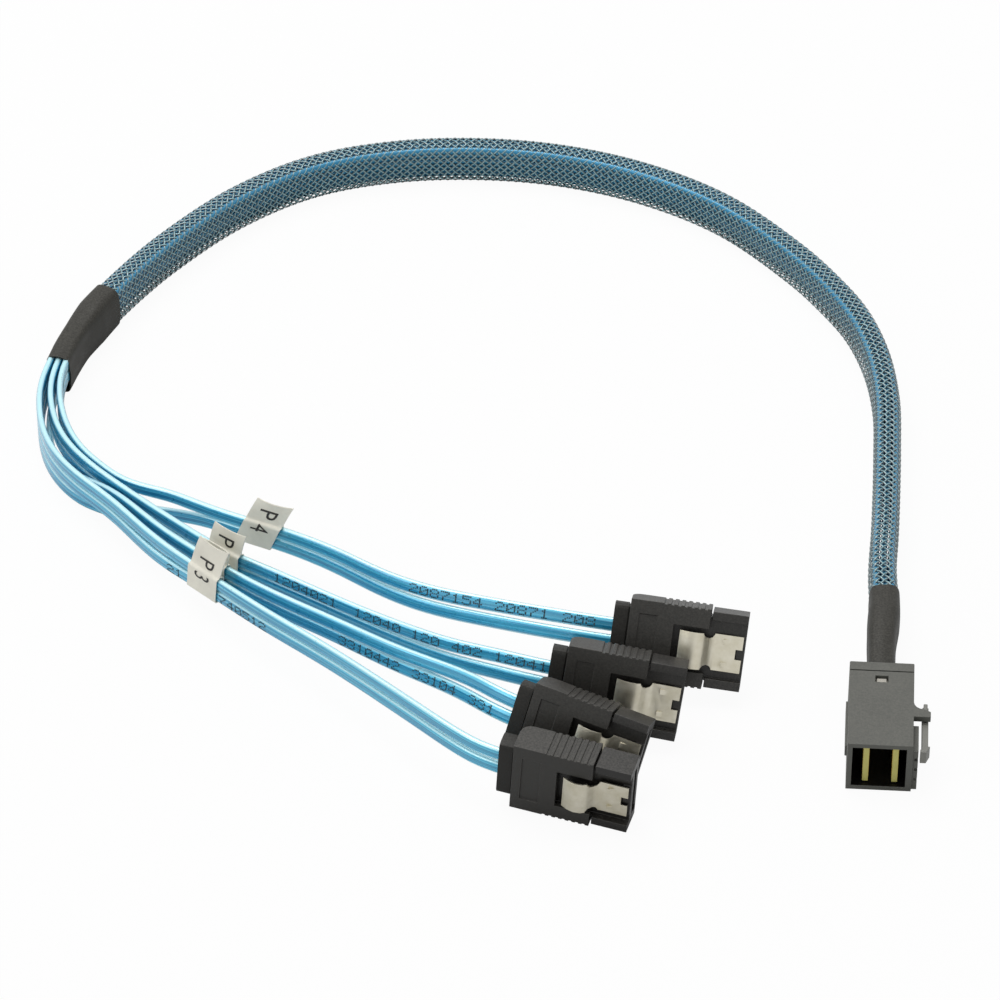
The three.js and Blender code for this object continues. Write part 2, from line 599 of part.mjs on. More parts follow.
// High-density plug
const HD_TUNNEL_HALF_WIDTH = BUNDLE_HALF_WIDTH + FIT_GAP;
const HD_TUNNEL_HALF_HEIGHT = BUNDLE_HALF_HEIGHT + FIT_GAP;
const HD_SHELL_END = HD_LENGTH - HD_CAP_LENGTH - FIT_GAP;
const HD_BLOCK_END = HD_SHELL_END - FIT_GAP;
const HD_BLOCK_START = HD_BLOCK_END - HD_BLOCK_LENGTH;
const HD_WINDOW_END = HD_SHELL_END - HD_WINDOW_FROM_CAP;
const HD_KEY_TOP = HD_HEIGHT - HD_KEY_DROP;
const HD_LATCH_NEAR = HD_WIDTH + HD_KEY_WIDTH + HD_LATCH_GAP; // the latch arm's inner face
const HD_LATCH_TOP = HD_HEIGHT - HD_GUARD_THICKNESS - FIT_GAP; // the arm runs under the guard

function hdShell() {
  const outer = block([0, HD_WIDTH], [0, HD_SHELL_END], [0, HD_HEIGHT]);
  const ribZ = (HD_HEIGHT - HD_RIB_HEIGHT) / 2;
  const sideRib = block(
    [-HD_RIB_DEPTH, HD_WALL / 2],
    [HD_RIB_START, HD_RIB_START + HD_RIB_LENGTH],
    [ribZ, ribZ + HD_RIB_HEIGHT],
  );
  const key = block(
    [HD_WIDTH - HD_KEY_WALL / 2, HD_WIDTH + HD_KEY_WIDTH],
    [FIT_GAP, FIT_GAP + HD_KEY_LENGTH],
    [FIT_GAP, HD_KEY_TOP],
  );
  const guardEnd = HD_GUARD_START + HD_GUARD_LENGTH;
  const guardPlan = new THREE.Shape();
  guardPlan.moveTo(HD_WIDTH - HD_KEY_WALL / 2, HD_GUARD_START);
  guardPlan.lineTo(HD_WIDTH + HD_GUARD_REACH, HD_GUARD_START);
  guardPlan.lineTo(HD_WIDTH + HD_GUARD_REACH, guardEnd - HD_GUARD_CORNER);
  guardPlan.lineTo(HD_WIDTH + HD_GUARD_FILLET, guardEnd);
  guardPlan.absarc(
    HD_WIDTH + HD_GUARD_FILLET, guardEnd + HD_GUARD_FILLET, HD_GUARD_FILLET, -Math.PI / 2, -Math.PI, true,
  );
  guardPlan.lineTo(HD_WIDTH - HD_KEY_WALL / 2, guardEnd + HD_GUARD_FILLET);
  guardPlan.closePath();
  const guard = prism(guardPlan, HD_GUARD_THICKNESS).translate(0, 0, HD_HEIGHT - HD_GUARD_THICKNESS);
  const cut = [
    block(
      [HD_WALL, HD_WIDTH - HD_KEY_WALL],
      [-OVERCUT, HD_SHELL_END + OVERCUT],
      [HD_WALL, HD_HEIGHT - HD_WALL],
    ),
    block(
      [(HD_WIDTH - HD_WINDOW_WIDTH) / 2, (HD_WIDTH + HD_WINDOW_WIDTH) / 2],
      [HD_WINDOW_END - HD_WINDOW_LENGTH, HD_WINDOW_END],
      [HD_HEIGHT - HD_WALL - OVERCUT, HD_HEIGHT + OVERCUT],
    ),
  ];
  const slotPitch = HD_KEY_TOP / (HD_KEY_SLOTS + 1);
  for (let slot = 1; slot <= HD_KEY_SLOTS; slot += 1) {
    const z = FIT_GAP + slot * slotPitch - HD_KEY_SLOT_HEIGHT / 2;
    cut.push(block(
      [HD_WIDTH + HD_KEY_WIDTH / 3, HD_WIDTH + HD_KEY_WIDTH + OVERCUT],
      [-OVERCUT, FIT_GAP + HD_KEY_SLOT_DEPTH],
      [z, z + HD_KEY_SLOT_HEIGHT],
    ));
  }
  return shaped(outer, { add: [sideRib, key, guard], cut });
}

function hdCap() {
  const plate = block([0, HD_WIDTH], [HD_SHELL_END + FIT_GAP, HD_LENGTH], [0, HD_HEIGHT]);
  const tunnel = block(
    [HD_WIDTH / 2 - HD_TUNNEL_HALF_WIDTH, HD_WIDTH / 2 + HD_TUNNEL_HALF_WIDTH],
    [HD_SHELL_END - OVERCUT, HD_LENGTH + OVERCUT],
    [HD_HEIGHT / 2 - HD_TUNNEL_HALF_HEIGHT, HD_HEIGHT / 2 + HD_TUNNEL_HALF_HEIGHT],
  );
  return shaped(plate, { cut: [tunnel] });
}

function boardMiddle(side) {
  return HD_WIDTH / 2 + HD_BOARD_OFFSET + side * HD_BOARD_PITCH / 2;
}

// The block grips both boards and the ends of the ribbons, and snaps into the shell's window
function hdWireBlock() {
  const body = block(
    [HD_WALL + FIT_GAP, HD_WIDTH - HD_KEY_WALL - FIT_GAP],
    [HD_BLOCK_START, HD_BLOCK_END],
    [HD_WALL + FIT_GAP, HD_HEIGHT - HD_WALL - FIT_GAP],
  );
  const tab = block(
    [HD_WIDTH / 2 - HD_WINDOW_WIDTH / 2 + FIT_GAP, HD_WIDTH / 2 + HD_WINDOW_WIDTH / 2 - FIT_GAP],
    [HD_WINDOW_END - HD_WINDOW_LENGTH + FIT_GAP, HD_WINDOW_END - FIT_GAP],
    [HD_HEIGHT / 2, HD_HEIGHT - HD_WALL / 2],
  );
  const half = HD_BOARD_THICKNESS / 2 + FIT_GAP;
  const slots = [-1, 1].map((side) => {
    const middle = boardMiddle(side);
    return block(
      [middle - half, middle + half],
      [HD_BLOCK_START - OVERCUT, HD_BLOCK_START + HD_BOARD_GRIP + FIT_GAP],
      [0, HD_HEIGHT],
    );
  });
  return shaped(body, { add: [tab], cut: slots });
}

function hdBoard(side) {
  const middle = boardMiddle(side);
  return block(
    [middle - HD_BOARD_THICKNESS / 2, middle + HD_BOARD_THICKNESS / 2],
    [HD_BOARD_RECESS, HD_BLOCK_START + HD_BOARD_GRIP],
    [HD_WALL + FIT_GAP, HD_HEIGHT - HD_WALL - FIT_GAP],
  );
}

// Side latch: root in front, arm back along the key, and a thumb hook on top at the arm's end
function hdLatch() {
  const z = [HD_LATCH_TOP - HD_LATCH_HEIGHT, HD_LATCH_TOP];
  const far = HD_LATCH_NEAR + HD_LATCH_THICKNESS;
  const front = FIT_GAP;
  const back = front + HD_LATCH_LENGTH;
  const plan = polygon([
    [HD_LATCH_NEAR, front], [far - HD_LATCH_LEAD, front], [far + HD_LATCH_BARB, front + HD_LATCH_ROOT],
    [far, front + HD_LATCH_ROOT], [far, back], [HD_LATCH_NEAR, back],
  ]);
  const arm = prism(plan, HD_LATCH_HEIGHT).translate(0, 0, z[0]);
  const root = block(
    [HD_LATCH_NEAR - HD_LATCH_GAP + FIT_GAP, far - HD_LATCH_LEAD],
    [front, front + HD_LATCH_ROOT / 2],
    z,
  );
  const hook = block(
    [HD_LATCH_NEAR + HD_HOOK_INSET, far - HD_HOOK_INSET],
    [back - HD_HOOK_LENGTH, back],
    [z[1] - HD_HOOK_INSET, z[1] + HD_HOOK_HEIGHT],
  );
  return shaped(arm, { add: [root, hook] });
}

function hdPlug() {
  const group = new THREE.Group();
  group.rotation.z = radians(HD_POSE.yaw);
  group.position.set(HD_POSE.x, HD_POSE.y, 0);
  group.add(
    named('hd_shell', hdShell(), MATERIALS.hd_grey),
    named('hd_rear_cap', hdCap(), MATERIALS.hd_grey),
    named('hd_wire_block', hdWireBlock(), MATERIALS.wire_block),
    named('hd_board_left', hdBoard(-1), MATERIALS.board),
    named('hd_board_right', hdBoard(1), MATERIALS.board),
    named('hd_latch', hdLatch(), MATERIALS.hd_latch_grey),
  );
  group.updateMatrixWorld(true);
  return group;
}

// Bundle line, from the back of the wire block to the breakout
function bundleLine(plug) {
  const inPlug = [HD_BLOCK_END + FIT_GAP, HD_LENGTH].map((y) => (
    plug.localToWorld(new THREE.Vector3(HD_WIDTH / 2, y, HD_HEIGHT / 2))
  ));
  const points = BUNDLE_POINTS.map((point) => new THREE.Vector3(...point));
  const line = new THREE.CatmullRomCurve3([...inPlug, ...points], false, 'centripetal');
  line.arcLengthDivisions = 1500;
  return line;
}

function bundleRing(line, distance) {
  const t = THREE.MathUtils.clamp(distance / line.getLength(), 0, 1);
  return ringAt(line.getPointAt(t), line.getTangentAt(t), UP);
}

// Distances along the bundle at which the sleeve and the two tubes start and end
function coverings(total) {
  const capRear = HD_LENGTH - HD_BLOCK_END;
  const plugTube = [capRear, capRear + PLUG_SHRINK_LENGTH];
  const breakoutTube = [total - BREAKOUT_SHRINK_LENGTH, total];
  const sleeve = [plugTube[1] - SHRINK_GRIP, breakoutTube[0] + SHRINK_GRIP];
  return { plugTube, breakoutTube, sleeve };
}

function sleeveShape() {
  return hollow(
    rounded(SLEEVE_HALF_WIDTH, SLEEVE_HALF_HEIGHT, SLEEVE_CORNER),
    rounded(SLEEVE_HALF_WIDTH - SLEEVE_WALL, SLEEVE_HALF_HEIGHT - SLEEVE_WALL, SLEEVE_CORNER - SLEEVE_WALL),
  );
}

// A heat-shrink tube is wide over the sleeve and tight over the bare bundle
const SHRINK_WIDE = {
  width: SLEEVE_HALF_WIDTH + SHRINK_CLEARANCE + SHRINK_WALL,
  height: SLEEVE_HALF_HEIGHT + SHRINK_CLEARANCE + SHRINK_WALL,
};
const SHRINK_TIGHT = {
  width: BUNDLE_HALF_WIDTH + SHRINK_CLEARANCE + SHRINK_WALL,
  height: BUNDLE_HALF_HEIGHT + SHRINK_CLEARANCE + SHRINK_WALL,
};

// Each ring comes with its tightness, from 0 over the sleeve to 1 over the bare bundle
function shrinkTube(rings) {
  const shape = hollow(
    rounded(SHRINK_WIDE.width, SHRINK_WIDE.height, SLEEVE_CORNER),
    rounded(SHRINK_WIDE.width - SHRINK_WALL, SHRINK_WIDE.height - SHRINK_WALL, SLEEVE_CORNER - SHRINK_WALL),
  );
  return sweep(shape, rings.map(([ring, tight]) => scaledRing(
    ring,
    THREE.MathUtils.lerp(1, SHRINK_TIGHT.width / SHRINK_WIDE.width, tight),
    THREE.MathUtils.lerp(1, SHRINK_TIGHT.height / SHRINK_WIDE.height, tight),
  )));
}

// The last points of a ribbon, through its boot to the back of the housing
function bootEnd(plug, stack) {
  const z = PLUG_WIDTH / 2 + stack * BOOT_RIBBON_PITCH / 2;
  const boot = -FIT_GAP - BOOT_LENGTH;
  const stations = [boot - BOOT_LEAD, boot, HOUSING_START - 2 * FIT_GAP];
  return stations.map((x) => plug.localToWorld(new THREE.Vector3(x, PLUG_THICKNESS / 2, z)));
}

// Rings of one ribbon: its place in the bundle, then its own points, turning by degrees from upright to
// the lean of its plug
function ribbonRings(ribbon, rings, plug) {
  const inBundle = rings.map((ring) => (
    shiftedRing(ring, ribbon.column * COLUMN_PITCH, ribbon.row * ROW_PITCH)
  ));
  const points = [
    ...inBundle.slice(-2).map((ring) => ring.centre),
    ...ribbon.points.map((point) => new THREE.Vector3(...point)),
    ...bootEnd(plug, ribbon.stack),
  ];
  const line = new THREE.CatmullRomCurve3(points, false, 'centripetal');
  const segments = points.length - 1;
  const plugUp = new THREE.Vector3(0, 0, 1).transformDirection(plug.matrixWorld);
  const fan = [];
  for (let segment = 1; segment < segments; segment += 1) {
    const count = Math.max(Math.round(points[segment].distanceTo(points[segment + 1]) / RIBBON_STEP), 1);
    for (let part = 1; part <= count; part += 1) {
      const t = (segment + part / count) / segments;
      const turned = THREE.MathUtils.smoothstep(t, RIBBON_TURN_START, RIBBON_TURN_END);
      const upright = UP.clone().lerp(plugUp, turned).normalize();
      fan.push(ringAt(line.getPoint(t), line.getTangent(t), upright));
    }
  }
  return [...inBundle, ...fan];
}

// Label: a strip wrapped round both ribbons of a port, its ends stuck together into a flag above them
function label(port) {
  const { at, offset, flag, slant } = LABELS[port];
  const [upper, lower] = ['upper', 'lower'].map((side) => RIBBONS[`ribbon_${port}_${side}`].points);
  const centre = new THREE.Vector3(...upper[at]).add(new THREE.Vector3(...lower[at])).multiplyScalar(0.5);
  const before = new THREE.Vector3(...upper[at - 1]).add(new THREE.Vector3(...lower[at - 1]));
  const after = new THREE.Vector3(...upper[at + 1]).add(new THREE.Vector3(...lower[at + 1]));
  const along = after.sub(before);
  const stack = new THREE.Vector3(...upper[at]).sub(new THREE.Vector3(...lower[at]));
  const halfHeight = (stack.length() + RIBBON_WIDTH) / 2 + LABEL_CLEARANCE;
  const halfWidth = RIBBON_THICKNESS / 2 + LABEL_CLEARANCE;
  const top = halfHeight + LABEL_THICKNESS;
  const outer = [
    [halfWidth + LABEL_THICKNESS, -top], [halfWidth + LABEL_THICKNESS, halfHeight],
    [LABEL_THICKNESS, top], [LABEL_THICKNESS + flag * LABEL_LEAN, top + flag],
    [flag * LABEL_LEAN - LABEL_THICKNESS, top + flag], [-LABEL_THICKNESS, top],
    [-halfWidth - LABEL_THICKNESS, halfHeight], [-halfWidth - LABEL_THICKNESS, -top],
  ];
  const inner = [
    [halfWidth, -halfHeight], [halfWidth, halfHeight - LABEL_THICKNESS], [LABEL_THICKNESS / 2, halfHeight],
    [-LABEL_THICKNESS / 2, halfHeight], [-halfWidth, halfHeight - LABEL_THICKNESS],
    [-halfWidth, -halfHeight],
  ];
  const ring = ringAt(centre, along, stack.normalize());
  const up = ring.up.clone().addScaledVector(ring.tangent, slant);
  const ends = [-1, 1].map((end) => ({
    ...ring,
    up,
    centre: centre.clone().addScaledVector(ring.tangent, offset + end * LABEL_LENGTH / 2),
  }));
  return sweep(hollow(outer, inner), ends);
}

function cable() {
  const group = new THREE.Group();
  const large = hdPlug();
  const drives = Object.fromEntries(Object.keys(DRIVE_POSES).map((port) => [port, drivePlug(port)]));
  group.add(large, ...Object.values(drives));

  const line = bundleLine(large);
  const total = line.getLength();
  const { plugTube, breakoutTube, sleeve } = coverings(total);
  const at = (distance) => bundleRing(line, distance);
  const sleeved = Array.from({ length: BUNDLE_STEPS + 1 }, (_, index) => (
    at(THREE.MathUtils.lerp(...sleeve, index / BUNDLE_STEPS))
  ));
  const plugTaper = at(sleeve[0] - SHRINK_TAPER);
  const breakoutTaper = at(sleeve[1] + SHRINK_TAPER);
  const rings = [at(0), at(plugTube[0]), plugTaper, ...sleeved, breakoutTaper, at(total)];
  const overPlugEnd = [
    [at(plugTube[0]), 1], [plugTaper, SHRINK_TAPERED], [at(sleeve[0]), 0], [at(plugTube[1]), 0],
  ];
  const overBreakout = [
    [at(breakoutTube[0]), 0], [at(sleeve[1]), 0], [breakoutTaper, SHRINK_TAPERED], [at(total), 1],
  ];
  group.add(
    named('braided_sleeve', sweep(sleeveShape(), sleeved), MATERIALS.sleeve),
    named('plug_heat_shrink', shrinkTube(overPlugEnd), MATERIALS.shrink),
    named('breakout_heat_shrink', shrinkTube(overBreakout), MATERIALS.shrink),
  );

  const ribbonShape = polygon(bevelled(RIBBON_THICKNESS / 2, RIBBON_WIDTH / 2, RIBBON_EDGE));
  for (const [name, ribbon] of Object.entries(RIBBONS)) {
    const route = ribbonRings(ribbon, rings, drives[ribbon.plug]);
    group.add(named(name, sweep(ribbonShape, route), MATERIALS.ribbon));
  }
  for (const port of Object.keys(LABELS)) {
    group.add(named(`label_${port}`, label(port), MATERIALS.label));
  }
  return group;
}

export default cable();
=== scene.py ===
# %% [markdown]
# # Breakout cable for disk drives
#
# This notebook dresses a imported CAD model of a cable: one grey internal plug, a braided sleeve over
# eight flat ribbons, and four black latching plugs that lean on one another. The CAD model gives the
# places and the sizes. Blender adds what CAD leaves out: woven strands, film over wire pairs, worn
# edges, stamped steel and paper labels. Everything is in metres, in the frame of the CAD model.

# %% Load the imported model
import math

import bmesh
import bpy
import numpy as np
from mathutils import Matrix, Vector


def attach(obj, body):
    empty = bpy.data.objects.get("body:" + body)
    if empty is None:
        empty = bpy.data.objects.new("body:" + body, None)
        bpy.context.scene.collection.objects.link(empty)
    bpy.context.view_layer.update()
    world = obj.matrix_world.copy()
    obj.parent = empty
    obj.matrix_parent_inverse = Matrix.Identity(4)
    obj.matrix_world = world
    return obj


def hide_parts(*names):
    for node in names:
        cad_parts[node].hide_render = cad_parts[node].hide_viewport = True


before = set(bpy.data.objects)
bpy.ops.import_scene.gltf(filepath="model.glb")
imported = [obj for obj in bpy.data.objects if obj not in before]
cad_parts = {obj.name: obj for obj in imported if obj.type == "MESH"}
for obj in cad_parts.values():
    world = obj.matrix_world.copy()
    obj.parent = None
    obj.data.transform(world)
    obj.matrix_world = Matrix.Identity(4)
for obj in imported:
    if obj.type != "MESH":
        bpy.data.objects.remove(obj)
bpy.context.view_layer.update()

# %% [markdown]
# ## Camera
#
# A product photo like this one is taken from about 40 degrees above the table with a long lens, which
# keeps parallel edges nearly parallel. The lens and the distance were found by fitting the corners of
# the four black plugs, whose real width is known. A camera looks along its own -Z axis, so turning it
# by 90 degrees minus the elevation about X makes it look down at the table.

# %% Camera
AIM = Vector((0.005385, 0.018099, 0.0))
ELEVATION = math.radians(40)
DISTANCE = 1.0175

photo_camera = bpy.data.objects.new("photo_camera", bpy.data.cameras.new("photo_camera"))
bpy.context.scene.collection.objects.link(photo_camera)
photo_camera.data.sensor_width = 36
photo_camera.data.lens = 198
photo_camera.location = AIM + DISTANCE * Vector((0, -math.cos(ELEVATION), math.sin(ELEVATION)))
photo_camera.rotation_euler = (math.radians(90) - ELEVATION, 0, 0)
bpy.context.scene.camera = photo_camera
bpy.context.scene.view_settings.view_transform = "Standard"
print("camera at", tuple(round(value, 3) for value in photo_camera.location))

# %% [markdown]
# ## The routes
#
# The cable was laid on the table by hand, so its line is a list of given points, the same list
# that the CAD source uses. The sleeved stretch has one line for all eight ribbons. After the breakout
# every ribbon has a line of its own, down to the soft boot of its plug. A centripetal Catmull-Rom
# curve goes through all the points without the loops and overshoots of a plain one.

# %% Points of the routes
BUNDLE_POINTS = [  # in millimetres
    (72.43, -41.3, 5.3), (72.59, -38.9, 5.3), (73.18, -29.4, 5.3), (74.18, -19.8, 5.3),
    (74.48, -8.3, 5.2), (75.59, 3.2, 4.7), (77.29, 27.1, 4.45), (77.79, 39.9, 4.45),
    (76.68, 52.7, 4.45), (73.48, 64.7, 4.45), (68.29, 75, 4.45), (62.48, 84, 4.45),
    (49.18, 99.5, 4.45), (33.98, 109.7, 4.45), (17.89, 115.7, 4.45), (1.48, 118, 4.45),
    (-15.12, 117.1, 4.45), (-31.12, 112.4, 4.45), (-45.92, 102.2, 4.45), (-58.92, 87.5, 4.55),
    (-66.32, 76.4, 4.8), (-71.71, 66.6, 4.95), (-75.52, 57.6, 4.9), (-77.91, 49.4, 4.75),
]
RIBBON_POINTS = {  # in millimetres
    "ribbon_p1_upper": [
        (-78.9, 43.3, 7.3), (-78.4, 36.1, 7.3), (-76, 27.6, 7.3), (-71.9, 21, 7.3), (-68.3, 16.8, 7.3),
        (-63.8, 12.2, 7.3), (-55.7, 4.2, 7.4), (-44.3, -6.5, 7.9), (-36, -12.2, 8.3),
        (-22.3, -21.8, 8.8), (-12.4, -28.4, 9.4), (-2.6, -34.4, 10.4), (5.4, -38, 11.3),
        (12.16, -41.12, 11.82), (14.12, -41.44, 11.62), (20.21, -42.43, 10.98),
    ],
    "ribbon_p1_lower": [
        (-78.9, 43.3, 4.7), (-78.4, 36.1, 4.6), (-76, 27.6, 4.6), (-71.9, 21, 4.6), (-68.3, 16.8, 4.5),
        (-63.8, 12.2, 4.5), (-55.7, 3.8, 4.6), (-44.3, -6.5, 5.2), (-36, -12.2, 5.6),
        (-22.3, -21.8, 6.1), (-12.5, -28.8, 6.6), (-2.9, -35.2, 7.6), (4.9, -39.2, 8.5),
        (11.67, -42.28, 9), (13.63, -42.6, 8.79), (19.72, -43.6, 8.15),
    ],
    "ribbon_p2_upper": [
        (-79, 43.3, 2), (-79, 36.1, 1.9), (-77.4, 27, 2), (-73.4, 19.9, 4), (-69.6, 15.6, 5.8),
        (-65.1, 10.9, 7.1), (-56, 0.2, 7.4), (-46.5, -9.1, 7.8), (-37.2, -17.2, 8.3),
        (-23.9, -27.1, 9.2), (-12.2, -36.1, 10.3), (-4.3, -41.6, 11.4), (1, -45.6, 12.2),
        (6.42, -50.93, 12.83), (8.27, -51.64, 12.54), (14, -53.84, 11.63),
    ],
    "ribbon_p2_lower": [
        (-80.7, 43.3, 2), (-80.6, 35.9, 1.8), (-78.7, 26.5, 1.6), (-74.5, 19.1, 1.5), (-70.2, 15, 1.5),
        (-65.1, 10.9, 3.3), (-56.1, 0.1, 4.4), (-46.5, -9.1, 5), (-37.2, -17.2, 5.6),
        (-23.9, -27.1, 6.4), (-12.5, -36.5, 7.6), (-4.8, -42.4, 8.7), (0.1, -46.8, 9.5),
        (5.54, -52.1, 10.1), (7.39, -52.81, 9.8), (13.12, -55, 8.9),
    ],
    "ribbon_p3_upper": [
        (-80.7, 43.3, 7.3), (-80.6, 35.9, 7.3), (-78.8, 26.5, 7.3), (-74.8, 19, 7.3),
        (-70.9, 14.3, 7.3), (-66.4, 9.6, 7.3), (-56.6, -2.7, 7.3), (-47.7, -12, 7.6),
        (-37.4, -22.2, 8), (-24.7, -33.9, 8.6), (-12.1, -46.7, 9.4), (-6.8, -52.3, 9.8),
        (-1.9, -57.3, 10.1), (3.68, -61.75, 10.19), (5.6, -62.33, 10.08), (11.52, -64.12, 9.73),
    ],
    "ribbon_p3_lower": [
        (-80.7, 43.3, 4.7), (-80.6, 35.9, 4.6), (-78.8, 26.5, 4.6), (-74.8, 19, 4.6),
        (-70.9, 14.3, 4.5), (-66.4, 9.6, 4.5), (-56.7, -3.4, 4.5), (-47.7, -12, 4.8),
        (-37.4, -22.2, 5.2), (-24.7, -33.9, 5.8), (-12.2, -46.7, 6.5), (-6.9, -52.3, 6.8),
        (-2.1, -57.3, 7), (3.52, -61.71, 7.09), (5.43, -62.29, 6.98), (11.35, -64.08, 6.63),
    ],
    "ribbon_p4_upper": [
        (-77.3, 43.2, 7.2), (-76.6, 36.3, 7.1), (-74.3, 28.3, 6.9), (-70.6, 22, 6.8), (-66.9, 18, 6.8),
        (-62.5, 13.6, 6.9), (-56.9, 11.8, 7.2), (-48.5, 6.6, 7.5), (-40.1, 1.9, 7.9),
        (-35.5, -0.3, 8.1), (-25.3, -6.5, 8.6), (-15.3, -14.1, 9), (-7.1, -18.9, 9.6),
        (5.4, -23.6, 10.4), (16, -26.9, 10.9), (23.39, -28.6, 10.81), (25.37, -28.87, 10.67),
        (31.5, -29.72, 10.23),
    ],
    "ribbon_p4_lower": [
        (-77.3, 43.2, 4.6), (-76.6, 36.3, 4.4), (-74.3, 28.3, 4), (-70.6, 22, 3.5), (-67.1, 17.9, 3),
        (-62.8, 13.3, 2.4), (-57.7, 12.4, 1.9), (-48.5, 6.6, 4.8), (-40.1, 1.9, 5.2),
        (-35.5, -0.3, 5.4), (-25.4, -6.8, 5.9), (-15.4, -14.8, 6.3), (-7.4, -19.9, 6.9),
        (5.1, -24.9, 7.7), (15.6, -28.5, 8.3), (22.99, -30.18, 8.17), (24.97, -30.45, 8.03),
        (31.09, -31.3, 7.6),
    ],
}
print("ribbons:", len(RIBBON_POINTS))

# %% Places of the ribbons in the bundle: plug, columns to the left, rows upwards
RIBBON_PLACES = {
    "ribbon_p1_upper": ("p1", 0, 1),
    "ribbon_p1_lower": ("p1", 0, 0),
    "ribbon_p2_upper": ("p2", 0, -1),
    "ribbon_p2_lower": ("p2", -1, -1),
    "ribbon_p3_upper": ("p3", -1, 1),
    "ribbon_p3_lower": ("p3", -1, 0),
    "ribbon_p4_upper": ("p4", 1, 1),
    "ribbon_p4_lower": ("p4", 1, 0),
}
RIBBON_WIDTH = 0.0025
RIBBON_THICKNESS = 0.0013
COLUMN_PITCH = 0.0014
ROW_PITCH = 0.0026

# %% Poses of the plugs: corner, then yaw, lean and pitch in degrees
DRIVE_POSES = {
    "p1": ((0.01517, -0.04792, 0.00453), -9.3, -23.4, 5.9),
    "p2": ((0.0076, -0.05849, 0.00575), -21, -26.9, 8.4),
    "p3": ((0.00693, -0.0659, 0.00119), -16.8, -0.2, 3.2),
    "p4": ((0.02675, -0.03626, 0.00459), -7.9, -31.5, 4),
}
HD_POSE = ((0.0655, -0.06008, 0.0), -3.8)


def drive_matrix(port):
    corner, yaw, lean, pitch = DRIVE_POSES[port]
    turn = Matrix.Rotation(math.radians(yaw), 4, "Z")
    turn = turn @ Matrix.Rotation(math.radians(pitch), 4, "Y")
    turn = turn @ Matrix.Rotation(math.radians(lean), 4, "X")
    return Matrix.Translation(corner) @ turn


HD_MATRIX = Matrix.Translation(HD_POSE[0]) @ Matrix.Rotation(math.radians(HD_POSE[1]), 4, "Z")
DRIVE_MATRICES = {port: drive_matrix(port) for port in DRIVE_POSES}
print("plugs:", sorted(DRIVE_MATRICES))

# %% Curve through the points
def metres(points):
    return np.array(points) / 1000


def catmull_rom(points, per_span):
    """Dense points of a centripetal Catmull-Rom curve, per_span of them for every span."""
    p = np.array(points, float)
    p = np.vstack([2 * p[0] - p[1], p, 2 * p[-1] - p[-2]])
    out = []
    t = np.linspace(0, 1, per_span, endpoint=False)[:, None]
    for i in range(1, len(p) - 2):
        p0, p1, p2, p3 = p[i - 1:i + 3]
        d0, d1, d2 = (math.sqrt(np.linalg.norm(b - a)) for a, b in ((p0, p1), (p1, p2), (p2, p3)))
        m1 = ((p1 - p0) / d0 - (p2 - p0) / (d0 + d1) + (p2 - p1) / d1) * d1
        m2 = ((p2 - p1) / d1 - (p3 - p1) / (d1 + d2) + (p3 - p2) / d2) * d1
        c2 = -3 * p1 + 3 * p2 - 2 * m1 - m2
        c3 = 2 * p1 - 2 * p2 + m1 + m2
        out.append(p1 + m1 * t + c2 * t ** 2 + c3 * t ** 3)
    return np.vstack(out + [p[-2][None]])


def lengths(points):
    return np.concatenate([[0], np.cumsum(np.linalg.norm(np.diff(points, axis=0), axis=1))])


def respaced(points, distances, *others):
    """The same line, and any values that go with its points, read at the given distances."""
    along = lengths(points)
    read = [
        np.stack([np.interp(distances, along, values[:, axis]) for axis in range(3)], 1)
        for values in (points, *others)
    ]
    return read if others else read[0]


def unit(vectors):
    return vectors / np.linalg.norm(vectors, axis=-1, keepdims=True)


def framed(points, upright):
    """Tangent, side to the left of the run, and up at every point of a line."""
    tangent = unit(np.gradient(points, axis=0))
    side = unit(np.cross(upright, tangent))
    return tangent, side, np.cross(tangent, side)


bundle_line = catmull_rom(metres(BUNDLE_POINTS), 40)
BUNDLE_LENGTH = lengths(bundle_line)[-1]
UP = np.array([0.0, 0.0, 1.0])
print("bundle:", round(BUNDLE_LENGTH, 4), "m")

# %% [markdown]
# ## What covers the bundle
#
# From the rear of the grey plug a heat-shrink tube runs over the end of the sleeve, and a second tube
# holds the other end where the ribbons fan out. The distances below are counted along the bundle.

# %% Stretches along the bundle
CAP_REAR = 0.0027
PLUG_TUBE = (CAP_REAR, CAP_REAR + 0.0215)
BREAKOUT_TUBE = (BUNDLE_LENGTH - 0.0225, BUNDLE_LENGTH)
SLEEVE = (PLUG_TUBE[1] - 0.006, BREAKOUT_TUBE[0] + 0.006)
print("sleeve:", round(SLEEVE[1] - SLEEVE[0], 4), "m")

# %% [markdown]
# ## Lines of the ribbons
#
# In the bundle a ribbon keeps its column and row beside the bundle's line. In the fan it follows its
# own points and turns by degrees from upright to the lean of its plug. A short moving average takes
# the small corners out of the listed points, as the springy wire pairs of a real ribbon do.

# %% Lines of the ribbons
STEP = 0.0015


